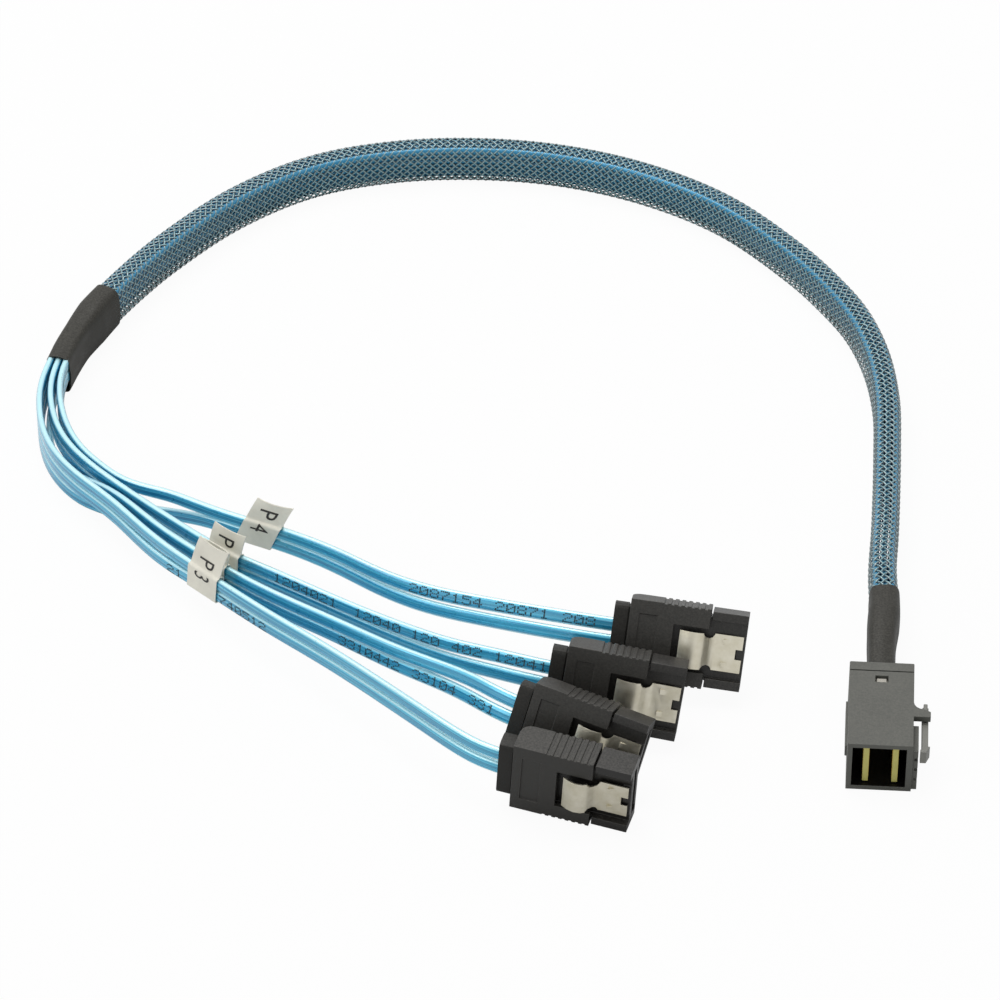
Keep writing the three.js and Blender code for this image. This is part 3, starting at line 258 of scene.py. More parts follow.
def ribbon_line(name):
    port, column, row = RIBBON_PLACES[name]
    places = np.linspace(0, BUNDLE_LENGTH, 240)
    spaced = respaced(bundle_line, places)
    _, side, up = framed(spaced, UP)
    inside = spaced + side * column * COLUMN_PITCH + up * row * ROW_PITCH
    last = np.interp([SLEEVE[1] + 0.005, BUNDLE_LENGTH], places, np.arange(len(places)))
    start = [inside[int(round(i))] for i in last]
    spans = 24
    fan = catmull_rom(start + list(metres(RIBBON_POINTS[name])), spans)[spans:]
    share = (np.arange(len(fan)) / spans + 1) / (len(RIBBON_POINTS[name]) + 1)
    turned = np.clip((share - 0.3) / 0.62, 0, 1)
    turned = (turned * turned * (3 - 2 * turned))[:, None]
    plug_up = np.array(DRIVE_MATRICES[port].to_3x3() @ Vector((0, 0, 1)))
    upright = unit(UP * (1 - turned) + plug_up * turned)
    points = np.vstack([inside[:-1], fan])
    uprights = np.vstack([np.tile(UP, (len(inside) - 1, 1)), upright])
    total = lengths(points)[-1]
    points, uprights = respaced(points, np.linspace(0, total, int(total / STEP)), uprights)
    kept = points.copy()
    reach = 3
    for i in range(reach, len(points) - reach):
        points[i] = kept[i - reach:i + reach + 1].mean(0)
    return points, framed(points, unit(uprights))


RIBBON_LINES = {name: ribbon_line(name) for name in RIBBON_PLACES}
for name, (points, _) in RIBBON_LINES.items():
    print(name, round(lengths(points)[-1], 4), "m")

# %% [markdown]
# ## Sweeping a section along a line
#
# A sleeve, a tube and a ribbon are all one section carried along a line. A curve object with a bevel
# could do it, but it turns its section on its own at bends. Here each ring of points is placed from the
# side and up vectors of its line, so a flat ribbon lies as it should. Every ring keeps two values, how
# far along and how far round it is, because the materials read them later.

# %% Sweep
def mesh_object(name, vertices, faces, **attributes):
    mesh = bpy.data.meshes.new(name)
    mesh.from_pydata([tuple(v) for v in vertices], [], faces)
    for key, values in attributes.items():
        mesh.attributes.new(key, "FLOAT", "POINT").data.foreach_set("value", np.ravel(values))
    mesh.update()
    piece = bpy.data.objects.new(name, mesh)
    bpy.context.scene.collection.objects.link(piece)
    return piece


def ring_faces(rings, sides, caps=True):
    faces = []
    for r in range(rings - 1):
        for s in range(sides):
            a, b = r * sides + s, r * sides + (s + 1) % sides
            faces.append((a, b, b + sides, a + sides))
    if caps:
        faces.append(tuple(range(sides))[::-1])
        faces.append(tuple((rings - 1) * sides + s for s in range(sides)))
    return faces


def sweep(name, points, side, up, section, caps=True):
    """section holds x to the side and y upwards, one row for each ring or one for all of them."""
    section = np.broadcast_to(section, (len(points),) + section.shape[-2:])
    ring = points[:, None] + section[..., :1] * side[:, None] + section[..., 1:] * up[:, None]
    count = section.shape[1]
    along = np.repeat(lengths(points), count)
    around = np.tile(np.arange(count) / count, len(points))
    return mesh_object(
        name, ring.reshape(-1, 3), ring_faces(len(points), count, caps), along=along, around=around,
    )


def smooth(piece, angle=40):
    bpy.ops.object.select_all(action="DESELECT")
    piece.select_set(True)
    bpy.context.view_layer.objects.active = piece
    bpy.ops.object.shade_smooth_by_angle(angle=math.radians(angle))
    return piece


def triangles(piece):
    return sum(len(face.vertices) - 2 for face in piece.data.polygons)

# %% [markdown]
# ## Ribbons
#
# Each ribbon is a pair of wires with a bare drain wire between them, wrapped in foil and sealed in a
# clear blue film. The film is drawn in a little between the wires, so the section is two round lobes
# with a shallow waist. The section has 20 points, going round against the clock.

# %% Ribbons
def ribbon_section():
    angle = np.linspace(0, 2 * np.pi, 20, endpoint=False) + np.pi / 20
    y = np.sin(angle) * RIBBON_WIDTH / 2
    x = np.sign(np.cos(angle)) * np.abs(np.cos(angle)) ** 0.55 * RIBBON_THICKNESS / 2
    waist = 1 - 0.16 * np.exp(-(y / 0.0003) ** 2)
    return np.stack([x * waist, y], 1)


RIBBONS = {}
for name, (points, (tangent, side, up)) in RIBBON_LINES.items():
    ribbon = smooth(sweep(name + "_film", points, side, up, ribbon_section()))
    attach(ribbon, "cable")
    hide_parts(name)
    RIBBONS[name] = ribbon
print("ribbon triangles:", sum(triangles(piece) for piece in RIBBONS.values()))

# %% [markdown]
# ## Braided sleeve
#
# The sleeve is an open braid of shiny filament through which the blue ribbons show. A bump map can't
# show a gap, so the strands are real: two sets wind round in opposite directions, and each strand rises
# and dips as a sine wave so that it passes over one and under the next. The two sets are two pieces,
# which keeps each under the number of triangles that a piece may have.

# %% Braid
STRANDS = 16
LAY = 0.0245
STRAND_WIDTH = 0.0004
STRAND_RISE = 0.00011
STRAND_SECTION = ((-0.5, -0.00006), (-0.2, 0.00005), (0.2, 0.00005), (0.5, -0.00006))
SLEEVE_HALF = (0.00243, 0.00423)


def oblong(half_width, half_height, power, count):
    """Evenly spaced points of a rounded oblong, with the direction outwards at each of them."""
    angle = np.linspace(0, 2 * np.pi, 2001)
    x = half_width * np.sign(np.cos(angle)) * np.abs(np.cos(angle)) ** (2 / power)
    y = half_height * np.sign(np.sin(angle)) * np.abs(np.sin(angle)) ** (2 / power)
    line = np.stack([x, y, 0 * x], 1)
    spaced = respaced(line, np.linspace(0, lengths(line)[-1], count + 1))[:-1, :2]
    step = np.roll(spaced, -1, 0) - np.roll(spaced, 1, 0)
    return spaced, unit(np.stack([step[:, 1], -step[:, 0]], 1))


def strand_set(name, turn):
    count = 360
    outline, outward = oblong(*SLEEVE_HALF, 3.4, count)
    samples = int((SLEEVE[1] - SLEEVE[0]) / LAY * STRANDS * 4)
    distance = np.linspace(*SLEEVE, samples)
    points = respaced(bundle_line, distance)
    _, side, up = framed(points, UP)
    lay = (distance - SLEEVE[0]) / LAY
    rise = turn * STRAND_RISE * np.cos(np.pi * 2 * STRANDS * lay)
    vertices, faces, across = [], [], []
    for strand in range(STRANDS):
        u = (strand / STRANDS + turn * lay) % 1 * count
        low = u.astype(int) % count
        part = (u % 1)[:, None]
        place = outline[low] * (1 - part) + outline[(low + 1) % count] * part
        normal = unit(outward[low] * (1 - part) + outward[(low + 1) % count] * part)
        place = place + normal * rise[:, None]
        middle = points + place[:, :1] * side + place[:, 1:] * up
        out = normal[:, :1] * side + normal[:, 1:] * up
        width = unit(np.cross(np.gradient(middle, axis=0), out))
        ring = [middle + width * STRAND_WIDTH * x + out * y for x, y in STRAND_SECTION]
        first = len(vertices) * samples * 4
        vertices.append(np.stack(ring, 1).reshape(-1, 3))
        across.append(np.tile([-1, -0.4, 0.4, 1], samples))
        for r in range(samples - 1):
            a = first + r * 4
            faces += [(a + s, a + s + 1, a + s + 5, a + s + 4) for s in range(3)]
    piece = mesh_object(name, np.vstack(vertices), faces, across=np.concatenate(across))
    piece.data.shade_smooth()
    return piece


BRAID = [strand_set("braid_right_hand", 1), strand_set("braid_left_hand", -1)]
for piece in BRAID:
    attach(piece, "cable")
    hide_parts("braided_sleeve")
print("braid triangles:", [triangles(piece) for piece in BRAID])

# %% [markdown]
# ## Heat-shrink tubes
#
# Heat-shrink is a plastic tube that is slid on wide and shrunk with hot air. It stays wide over the
# sleeve and grips the bare ribbons tightly, so it shows the shape of what is under it: a shoulder at
# the sleeve's end, soft lengthwise ridges over the ribbons and a few cross wrinkles. The outer skin is
# swept with a section that changes from ring to ring, then turned in over the edge at both ends.

# %% Heat-shrink tubes
def shrink_profile(distances, stops):
    where, width, height = (np.array(column) for column in zip(*stops))
    soft = np.linspace(where[0], where[-1], 400)
    kernel = np.hanning(41) / np.hanning(41).sum()
    out = []
    for value in (width, height):
        line = np.interp(soft, where, value)
        padded = np.concatenate([np.full(20, line[0]), line, np.full(20, line[-1])])
        out.append(np.interp(distances, soft, np.convolve(padded, kernel, "valid")))
    return out


def heat_shrink(name, node, stretch, stops, seed):
    rings, count = 90, 72
    distance = np.linspace(*stretch, rings)
    points = respaced(bundle_line, np.clip(distance, 0, BUNDLE_LENGTH))
    _, side, up = framed(points, UP)
    width, height = shrink_profile(distance, stops)
    base, outward = oblong(1, 1, 3.6, count)
    rng = np.random.default_rng(seed)
    along = (distance - stretch[0])[:, None]
    round_ = (np.arange(count) / count * 2 * np.pi)[None]
    wrinkle = np.zeros((rings, count))
    for _ in range(9):
        waves, turns = rng.uniform(250, 1100), rng.integers(1, 6)
        wrinkle += rng.uniform(0.2, 1) * np.sin(along * waves + turns * round_ + rng.uniform(0, 6))
    tight = np.clip((max(height) - height) / (max(height) - min(height)), 0, 1)[:, None]
    ridge = tight * 0.00007 * np.cos(round_ * 8)
    depth = 0.000035 * wrinkle / 3 + ridge
    section = base[None] * np.stack([width, height], 1)[:, None] + outward[None] * depth[..., None]
    inner = 1 - 0.0003 / np.stack([width, height], 1)
    order = [2, 1, 0] + list(range(rings)) + [rings - 1, rings - 2, rings - 3]
    shrunk = [True] * 3 + [False] * rings + [True] * 3
    section = np.stack([section[i] * (inner[i] if s else 1) for i, s in zip(order, shrunk)])
    piece = sweep(name, points[order], side[order], up[order], section, caps=False)
    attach(smooth(piece, 60), "cable")
    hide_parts(node)
    return piece


wide, tight = (0.00292, 0.00472), (0.00243, 0.00424)
plug_tube = heat_shrink("plug_tube", "plug_heat_shrink", PLUG_TUBE, [
    (PLUG_TUBE[0], *tight), (PLUG_TUBE[0] + 0.006, 0.00246, 0.00428),
    (SLEEVE[0] - 0.003, 0.00272, 0.0046), (SLEEVE[0] + 0.0005, *wide),
    (PLUG_TUBE[1] - 0.002, 0.0028, 0.0046), (PLUG_TUBE[1], 0.00278, 0.00458),
], 3)
breakout_tube = heat_shrink("breakout_tube", "breakout_heat_shrink", BREAKOUT_TUBE, [
    (BREAKOUT_TUBE[0], 0.00278, 0.0046), (BREAKOUT_TUBE[0] + 0.003, 0.00284, 0.00466),
    (SLEEVE[1], *wide), (SLEEVE[1] + 0.006, 0.0025, 0.0043), (BREAKOUT_TUBE[1], *tight),
], 8)
print("tube triangles:", triangles(plug_tube), triangles(breakout_tube))

# %% [markdown]
# ## Paper labels
#
# Each port's two ribbons run through a paper label: a strip goes round both and its gummed ends meet
# in a flag. It is a sheet, so it is swept like the ribbons, with a section that follows the strip out
# along one face of the flag, round the ribbons and back along the other face. The flag leans away and
# curls a little at its free corners, as paper that was pressed flat by hand does.

# %% Labels
LABELS = {  # point of the ribbons, distance past it, height of the flag, slant along the run, curl
    "p1": (7, 0.0, 0.0034, 0.1, 0.0004),
    "p2": (7, 0.0, 0.0026, 0.1, -0.0003),
    "p3": (7, 0.0, 0.0048, 0.14, 0.0005),
    "p4": (8, 0.0019, 0.0036, 0.45, 0.0006),
}
LABEL_LENGTH = 0.0075
PAPER = 0.00013
LABEL_LEAN = 0.28
LABEL_MARGIN = 0.0015  # from the middle line of a ribbon to the paper above or below it
FLAG_FOOT = 0.0003  # from the strip's top to the fold where the flag begins


def label_frame(port):
    at, offset, _, slant, _ = LABELS[port]
    upper, lower = (metres(RIBBON_POINTS[f"ribbon_{port}_{row}"]) for row in ("upper", "lower"))
    stack = upper[at] - lower[at]
    tangent = unit(upper[at + 1] + lower[at + 1] - upper[at - 1] - lower[at - 1])
    side = unit(np.cross(unit(stack), tangent))
    centre = (upper[at] + lower[at]) / 2 + tangent * offset
    return centre, tangent, side, np.cross(tangent, side) + tangent * slant, np.linalg.norm(stack)


def label_section(half_height, flag, curl):
    """Middle line of the paper from one end of the strip to the other, offset to both of its faces."""
    half_width, corner = 0.00086, 0.0005
    arc = np.linspace(0, np.pi / 2, 5)
    rise = np.linspace(flag, 0, 7)[:, None]
    bend = LABEL_LEAN * rise + curl * (rise / max(flag, 1e-6)) ** 3
    left = np.hstack([bend - 0.00007, half_height + FLAG_FOOT + rise])
    shoulder = np.array([[-0.00022, half_height + 0.00008]])
    inner_x, inner_y = corner - half_width, half_height - corner
    top = np.stack([inner_x - corner * np.sin(arc), inner_y + corner * np.cos(arc)], 1)
    foot = np.stack([inner_x - corner * np.cos(arc), -inner_y - corner * np.sin(arc)], 1)
    wall = np.vstack([left, shoulder, top, foot])
    mirrored = (wall * [-1, 1])[::-1]
    mirrored[-7:, 0] = (bend[::-1] + 0.00007)[:, 0]
    line = np.vstack([wall, mirrored])
    normal = unit(np.gradient(line, axis=0))[:, ::-1] * [-1, 1]
    return np.vstack([line + normal * PAPER / 2, (line - normal * PAPER / 2)[::-1]])


LABEL_PIECES = {}
for port, (_, _, flag, _, curl) in LABELS.items():
    centre, tangent, side, up, stack = label_frame(port)
    place = np.linspace(-1, 1, 9)
    sections = [label_section(stack / 2 + LABEL_MARGIN, flag, curl * x * x) for x in place]
    points = centre + tangent * place[:, None] * LABEL_LENGTH / 2
    frames = [np.tile(axis, (9, 1)) for axis in (side, up)]
    label = smooth(sweep("paper_label_" + port, points, *frames, np.stack(sections)[:, ::-1]), 35)
    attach(label, "cable")
    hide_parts("label_" + port)
    LABEL_PIECES[port] = label
print("label triangles:", triangles(LABEL_PIECES["p3"]))

# %% [markdown]
# ## Letters on the labels
#
# Every label has the number of its port, turned a quarter so that it reads down the flag. A text object
# is made into a flat mesh first and given its place afterwards, a hair's breadth in front of the paper.
# The letter follows the paper's slope: below the fold it lies on the wall, above it on the flag, and
# between the two it goes over the rounded shoulder of the strip, whose outline is listed here.

# %% Letters
LETTERS = {  # heights of the letter and of the digit above the middle of the label
    "p1": (0.0044, -0.0022), "p2": (0.0042, 0.0012), "p3": (0.0043, 0.0016), "p4": (0.0047, 0.0019),
}
SHOULDER = np.array([  # height above the strip's top, and place of the paper's face
    (-0.0005, -0.00097), (-0.0004, -0.00097), (-0.0003, -0.00095), (-0.0002, -0.00091), (-0.0001, -0.00085),
    (0.0, -0.00075), (0.0001, -0.00045), (0.0002, -0.00030), (0.0004, -0.00018),
])
LETTER_SIZE = 0.0054
LETTER_HALF = 0.0019  # half of a capital's height, along the ribbon
LETTER_SQUEEZE = 0.72


def letter(name, text, port, height):
    bpy.ops.object.select_all(action="DESELECT")
    bpy.ops.object.text_add()
    piece = bpy.context.object
    piece.name = name
    piece.data.body = text
    piece.data.align_x = "CENTER"
    piece.data.size = LETTER_SIZE
    piece.data.resolution_u = 3
    bpy.ops.object.convert(target="MESH")
    mesh = bmesh.new()
    mesh.from_mesh(piece.data)
    for cut in np.arange(-0.0024, 0.0025, 0.0003):
        geometry = mesh.verts[:] + mesh.edges[:] + mesh.faces[:]
        bmesh.ops.bisect_plane(mesh, geom=geometry, plane_co=(cut, 0, 0), plane_no=(1, 0, 0))
    centre, tangent, side, up, stack = label_frame(port)
    shoulder = stack / 2 + LABEL_MARGIN
    _, _, flag, _, bend = LABELS[port]
    for vertex in mesh.verts:
        x, y, _ = vertex.co
        rise = height - x * LETTER_SQUEEZE
        run = y - LETTER_HALF
        height_on_flag = max(rise - shoulder - FLAG_FOOT, 0)
        curl = bend * (run / (LABEL_LENGTH / 2)) ** 2 * (height_on_flag / flag) ** 3
        face = float(np.interp(rise - shoulder, *SHOULDER.T))
        face += LABEL_LEAN * height_on_flag + curl
        vertex.co = Vector(centre + up * rise + tangent * run + side * face)
    mesh.to_mesh(piece.data)
    mesh.free()
    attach(piece, "cable")
    return piece


LETTER_PIECES = []
for port, heights in LETTERS.items():
    for text, height in zip(port.upper(), heights):
        kind = "letter" if text == "P" else "digit"
        LETTER_PIECES.append(letter(f"{kind}_{port}", text, port, height))
print("letters:", len(LETTER_PIECES))

# %% [markdown]
# ## Length marks on the ribbons
#
# An ink-jet printer writes length marks on the moving ribbon as it leaves the machine, in digits five
# dots wide and seven dots high. Each dot is a flat hexagon laid on the film, so the marks follow the
# film's curve and show their dots from near by. The marks are plain running numbers.

# %% Dots of the digits, row by row from the top
DIGITS = {
    "0": "01110 10001 10011 10101 11001 10001 01110", "1": "00100 01100 00100 00100 00100 00100 01110",
    "2": "01110 10001 00001 00110 01000 10000 11111", "3": "01110 10001 00001 00110 00001 10001 01110",
    "4": "00010 00110 01010 10010 11111 00010 00010", "5": "11111 10000 11110 00001 00001 10001 01110",
    "6": "00110 01000 10000 11110 10001 10001 01110", "7": "11111 00001 00010 00100 01000 01000 01000",
    "8": "01110 10001 10001 01110 10001 10001 01110", "9": "01110 10001 10001 01111 00001 00010 01100",
}
MARKS = {  # for each ribbon, the distance from its end to each group of digits
    "ribbon_p1_upper": {0.0632: "1204021", 0.0453: "12040", 0.0330: "120", 0.0246: "402", 0.0163: "12041"},
    "ribbon_p2_lower": {0.0455: "3310442", 0.0284: "33104", 0.0152: "331"},
    "ribbon_p3_lower": {0.0887: "21", 0.0752: "740512"},
    "ribbon_p4_upper": {0.0441: "2087154", 0.0275: "20871", 0.0150: "208"},
}
COLUMN, ROW, ADVANCE = 0.00036, 0.00025, 0.00207
DOT_LENGTH, DOT_WIDTH = 0.00018, 0.000153


def film_surface(name, distance, height):
    """Point just outside the face of the ribbon that looks towards the camera."""
    points, (tangent, side, up) = RIBBON_LINES[name]
    point, side, up = respaced(points, np.atleast_1d(distance), side, up)
    angle = np.arcsin(np.clip(height / (RIBBON_WIDTH / 2), -0.98, 0.98))
    half = np.cos(angle) ** 0.55 * RIBBON_THICKNESS / 2 * (1 - 0.16 * np.exp(-(height / 0.0003) ** 2))
    return point[0] + up[0] * height - side[0] * (half + 0.000025)


def length_marks(name, groups):
    total = lengths(RIBBON_LINES[name][0])[-1]
    turns = np.arange(6) * np.pi / 3
    hexagon = np.stack([DOT_LENGTH * np.cos(turns), DOT_WIDTH * np.sin(turns)], 1)
    vertices, faces = [], []
    for start, digits in groups.items():
        for place, digit in enumerate(digits):
            for row, line in enumerate(DIGITS[digit].split()):
                for column, dot in enumerate(line):
                    if dot == "1":
                        along = total - start + place * ADVANCE + column * COLUMN
                        first = len(vertices)
                        for x, y in hexagon:
                            vertices.append(film_surface(name, along + x, (3 - row) * ROW + y))
                        faces.append(tuple(range(first, first + 6)))
    piece = mesh_object(name.replace("ribbon", "length_marks"), vertices, faces)
    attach(piece, "cable")
    return piece


MARK_PIECES = [length_marks(name, groups) for name, groups in MARKS.items()]
print("dots:", sum(len(piece.data.polygons) for piece in MARK_PIECES))

# %% [markdown]
# ## Moulded shells of the drive plugs
#
# The hood, the housing, the latch and the boot were all settled in CAD, so their shapes are kept. What
# a mould leaves and CAD leaves out is the small round on every edge, which is what catches the light.
# One plug is copied out of the CAD model, its loose triangles are merged and its flat faces joined, a
# Bevel modifier rounds the edges, and the result is copied to the four places of the plugs. A Weighted
# Normal modifier keeps the shading of the large flat faces flat between their rounded edges.

# %% Softened copy of a CAD node
def softened(node, matrix, width):
    """Mesh of a CAD node in its plug's own frame, with rounded edges."""
    bpy.ops.object.select_all(action="DESELECT")
    piece = bpy.data.objects.new("softened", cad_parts[node].data.copy())
    piece.data.transform(matrix.inverted())
    bpy.context.scene.collection.objects.link(piece)
    bpy.context.view_layer.objects.active = piece
    piece.select_set(True)
    bpy.ops.object.mode_set(mode="EDIT")
    bpy.ops.mesh.select_all(action="SELECT")
    bpy.ops.mesh.remove_doubles(threshold=0.000002)
    bpy.ops.mesh.dissolve_limited(angle_limit=math.radians(1))
    bpy.ops.object.mode_set(mode="OBJECT")
    bevel = piece.modifiers.new("round", "BEVEL")
    bevel.width, bevel.segments = width, 2
    bevel.limit_method, bevel.angle_limit = "ANGLE", math.radians(28)
    bpy.ops.object.modifier_apply(modifier=bevel.name)
    bpy.ops.object.shade_smooth_by_angle(angle=math.radians(35))
    weights = piece.modifiers.new("flat faces stay flat", "WEIGHTED_NORMAL")
    weights.keep_sharp = True
    bpy.ops.object.modifier_apply(modifier=weights.name)
    mesh = piece.data
    bpy.data.objects.remove(piece)
    return mesh


def placed(name, mesh, matrix, body, slot, *nodes):
    """Copy of a mesh at its plug's place, standing for its CAD node."""
    piece = bpy.data.objects.new(name, mesh.copy())
    piece.data.name = name
    piece.data.transform(matrix)
    bpy.context.scene.collection.objects.link(piece)
    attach(piece, body)
    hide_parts(*nodes)
    return piece


# %% Four drive plugs
PLUG_SHAPES = {
    "hood": ("plug_black", 0.00013), "housing": ("housing_black", 0.00009),
    "latch": ("latch_steel", 0.00005), "boot": ("boot_black", 0.0003),
}
PLUG_PIECES = {}
for shape, (slot, width) in PLUG_SHAPES.items():
    mesh = softened(f"sata_{shape}_p1", DRIVE_MATRICES["p1"], width)
    for port, matrix in DRIVE_MATRICES.items():
        body = "latch_" + port if shape == "latch" else "cable"
        PLUG_PIECES[shape, port] = placed(
            f"drive_{shape}_{port}", mesh, matrix, body, slot, f"sata_{shape}_{port}",
        )
    print(shape, triangles(PLUG_PIECES[shape, "p1"]), "triangles")

# %% [markdown]
# ## Contacts of a drive plug
#
# Seven sprung fingers stand in the L-shaped slot of each nose, one for every contact of the header.
# A finger is a strip of gold-plated bronze that bows out of the floor of its channel to press on the
# header. A cube is stretched to the strip, cut across, and its middle cuts are lifted into the bow.
# Seven copies at the standard pitch of 1.27 mm are joined in every plug.

# %% One contact finger
def new_block(name, centre, size):
    """A cube primitive at its size and place, alone selected."""
    bpy.ops.object.select_all(action="DESELECT")
    bpy.ops.mesh.primitive_cube_add(size=1, location=centre, scale=size)
    piece = bpy.context.object
    piece.name = name
    bpy.ops.object.transform_apply(location=True, rotation=True, scale=True)
    return piece


def finished(piece, width, segments=2, angle=30):
    """Round the edges with an applied Bevel and smooth the shading."""
    bpy.ops.object.select_all(action="DESELECT")
    piece.select_set(True)
    bpy.context.view_layer.objects.active = piece
    bevel = piece.modifiers.new("round", "BEVEL")
    bevel.width, bevel.segments = width, segments
    bevel.limit_method, bevel.angle_limit = "ANGLE", math.radians(angle)
    bpy.ops.object.modifier_apply(modifier=bevel.name)
    bpy.ops.object.shade_smooth_by_angle(angle=math.radians(40))
    return piece


FINGER_START, FINGER_END = 0.0158, 0.0203
FINGER_LENGTH = FINGER_END - FINGER_START
FINGER_THICKNESS, FINGER_WIDTH, FINGER_BOW = 0.0002, 0.0006, 0.00042
SLOT_FLOOR, SLOT_MIDDLE, CONTACT_PITCH = 0.0045, 0.0072, 0.00127
finger = new_block(
    "finger", ((FINGER_START + FINGER_END) / 2, SLOT_FLOOR - FINGER_THICKNESS / 2, 0),
    (FINGER_LENGTH, FINGER_THICKNESS, FINGER_WIDTH),
)
bpy.ops.object.mode_set(mode="EDIT")
for share in (0.25, 0.45, 0.6, 0.75, 0.9):
    bpy.ops.mesh.select_all(action="SELECT")
    place = FINGER_START + share * FINGER_LENGTH
    bpy.ops.mesh.bisect(plane_co=(place, 0, 0), plane_no=(1, 0, 0))
bpy.ops.object.mode_set(mode="OBJECT")
for vertex in finger.data.vertices:
    share = (vertex.co.x - FINGER_START) / FINGER_LENGTH
    vertex.co.y -= FINGER_BOW * math.exp(-((share - 0.68) / 0.2) ** 2)
    vertex.co.z *= 1 - 0.35 * max(share - 0.75, 0) / 0.25
finished(finger, 0.00004, 1)
finger_mesh = finger.data
bpy.data.objects.remove(finger)
print("finger:", len(finger_mesh.polygons), "faces")

# %% Seven contacts in each plug
for port, matrix in DRIVE_MATRICES.items():
    bpy.ops.object.select_all(action="DESELECT")
    for number in range(7):
        place = Matrix.Translation((0, 0, SLOT_MIDDLE + (number - 3) * CONTACT_PITCH))
        copy = bpy.data.objects.new(f"drive_contacts_{port}", finger_mesh.copy())
        copy.data.transform(matrix @ place)
        bpy.context.scene.collection.objects.link(copy)
        copy.select_set(True)
        bpy.context.view_layer.objects.active = copy
    bpy.ops.object.join()
    contacts = bpy.context.object
    contacts.name = f"drive_contacts_{port}"
    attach(contacts, "cable")
    PLUG_PIECES["contacts", port] = contacts
print("contacts:", triangles(contacts), "triangles a plug")

# %% [markdown]
# ## The large grey plug
#
# The grey shell, its rear cap, the block inside, the two circuit boards and the side latch are softened
# in the same way. Then each board gets its row of gold-plated pads on both faces. A pad is a cube with
# its outer edges rounded; nine of them stand one above the other on a face.

# %% Large plug
HD_SHAPES = {
    "hd_shell": ("plug_shell", "hd_grey", 0.00016),
    "hd_rear_cap": ("plug_cap", "hd_grey", 0.00016),
    "hd_wire_block": ("wire_holder", "wire_block", 0.0001),
    "hd_latch": ("side_latch", "hd_latch_grey", 0.00012),
    "hd_board_left": ("board_left", "board", 0.00004),
    "hd_board_right": ("board_right", "board", 0.00004),
}
HD_PIECES = {}
for node, (name, slot, width) in HD_SHAPES.items():
    mesh = softened(node, HD_MATRIX, width)
    body = "hd_latch" if node == "hd_latch" else "cable"
    HD_PIECES[node] = placed(name, mesh, HD_MATRIX, body, slot, node)
    print(name, triangles(HD_PIECES[node]), "triangles")

# %% Pads on both faces of both boards
BOARD_MIDDLES = (0.003325, 0.008425)
BOARD_CENTRE_HEIGHT, PAD_PITCH, PAD_CENTRE = 0.0053, 0.0008, 0.0032
pad = new_block("pad", (0, 0, 0), (0.00008, 0.0036, 0.0006))
pad_mesh = finished(pad, 0.00003, 1).data
bpy.data.objects.remove(pad)
bpy.ops.object.select_all(action="DESELECT")
for middle in BOARD_MIDDLES:
    for face in (-1, 1):
        for number in range(9):
            place = (middle + face * 0.00052, PAD_CENTRE, BOARD_CENTRE_HEIGHT + (number - 4) * PAD_PITCH)
            copy = bpy.data.objects.new("board_pads", pad_mesh.copy())
            copy.data.transform(HD_MATRIX @ Matrix.Translation(place))
            bpy.context.scene.collection.objects.link(copy)
            copy.select_set(True)
            bpy.context.view_layer.objects.active = copy
bpy.ops.object.join()
board_pads = bpy.context.object
board_pads.name = "board_pads"
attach(board_pads, "cable")
print("pads:", triangles(board_pads), "triangles")

# %% [markdown]
# ## Shared surface effects
#
# Four effects are used by many finishes, so each is a node group with named inputs and outputs: the
# fine grain of a mould, slow blotches of tone, bare and bright edges, and dust that settles on faces
# that look up. A group only puts out values and masks. The shader itself stays in each material.

# %% Building node groups
def new_group(name, inputs, outputs):
    group = bpy.data.node_groups.new(name, "ShaderNodeTree")
    for label, value in inputs.items():
        socket = group.interface.new_socket(label, in_out="INPUT", socket_type="NodeSocketFloat")
        socket.default_value = value
    for label in outputs:
        group.interface.new_socket(label, in_out="OUTPUT", socket_type="NodeSocketFloat")
    return group, group.nodes.new("NodeGroupInput"), group.nodes.new("NodeGroupOutput")


def add(tree, kind, **inputs):
    """A node with its settings and inputs; i3 is input 3, and a value is a number or another socket."""
    node = tree.nodes.new("ShaderNode" + kind)
    for key, value in inputs.items():
        if hasattr(node, key):
            setattr(node, key, value)
            continue
        numbered = key[0] == "i" and key[1:].isdigit()
        socket = node.inputs[int(key[1:]) if numbered else key]
        if isinstance(value, bpy.types.NodeSocket):
            tree.links.new(value, socket)
        else:
            socket.default_value = value
    return node


def calc(tree, operation, *values, clamp=False):
    inputs = {f"i{index}": value for index, value in enumerate(values)}
    return add(tree, "Math", operation=operation, use_clamp=clamp, **inputs).outputs[0]


# %% Grain and blotches
grain_group, given, out = new_group("moulded_grain", {"Scale": 5000, "Coarse": 0.3}, ["Height"])
coords = add(grain_group, "TexCoord").outputs["Object"]
fine = add(grain_group, "TexNoise", Vector=coords, Scale=given.outputs["Scale"], Detail=3.0)
pits = add(grain_group, "TexVoronoi", Vector=coords, Scale=given.outputs["Scale"])
height = calc(
    grain_group, "MULTIPLY_ADD", pits.outputs["Distance"], given.outputs["Coarse"], fine.outputs[0],
)
grain_group.links.new(height, out.inputs["Height"])

blotch_group, given, out = new_group("slow_blotches", {"Scale": 180, "Contrast": 1.0}, ["Value"])
coords = add(blotch_group, "TexCoord").outputs["Object"]
scale = given.outputs["Scale"]
slow = add(blotch_group, "TexNoise", Vector=coords, Scale=scale, Detail=4.0, Roughness=0.6)
centred = calc(blotch_group, "SUBTRACT", slow.outputs[0], 0.5)
value = calc(blotch_group, "MULTIPLY_ADD", centred, given.outputs["Contrast"], 0.5, clamp=True)
blotch_group.links.new(value, out.inputs["Value"])
print("groups:", grain_group.name, blotch_group.name)

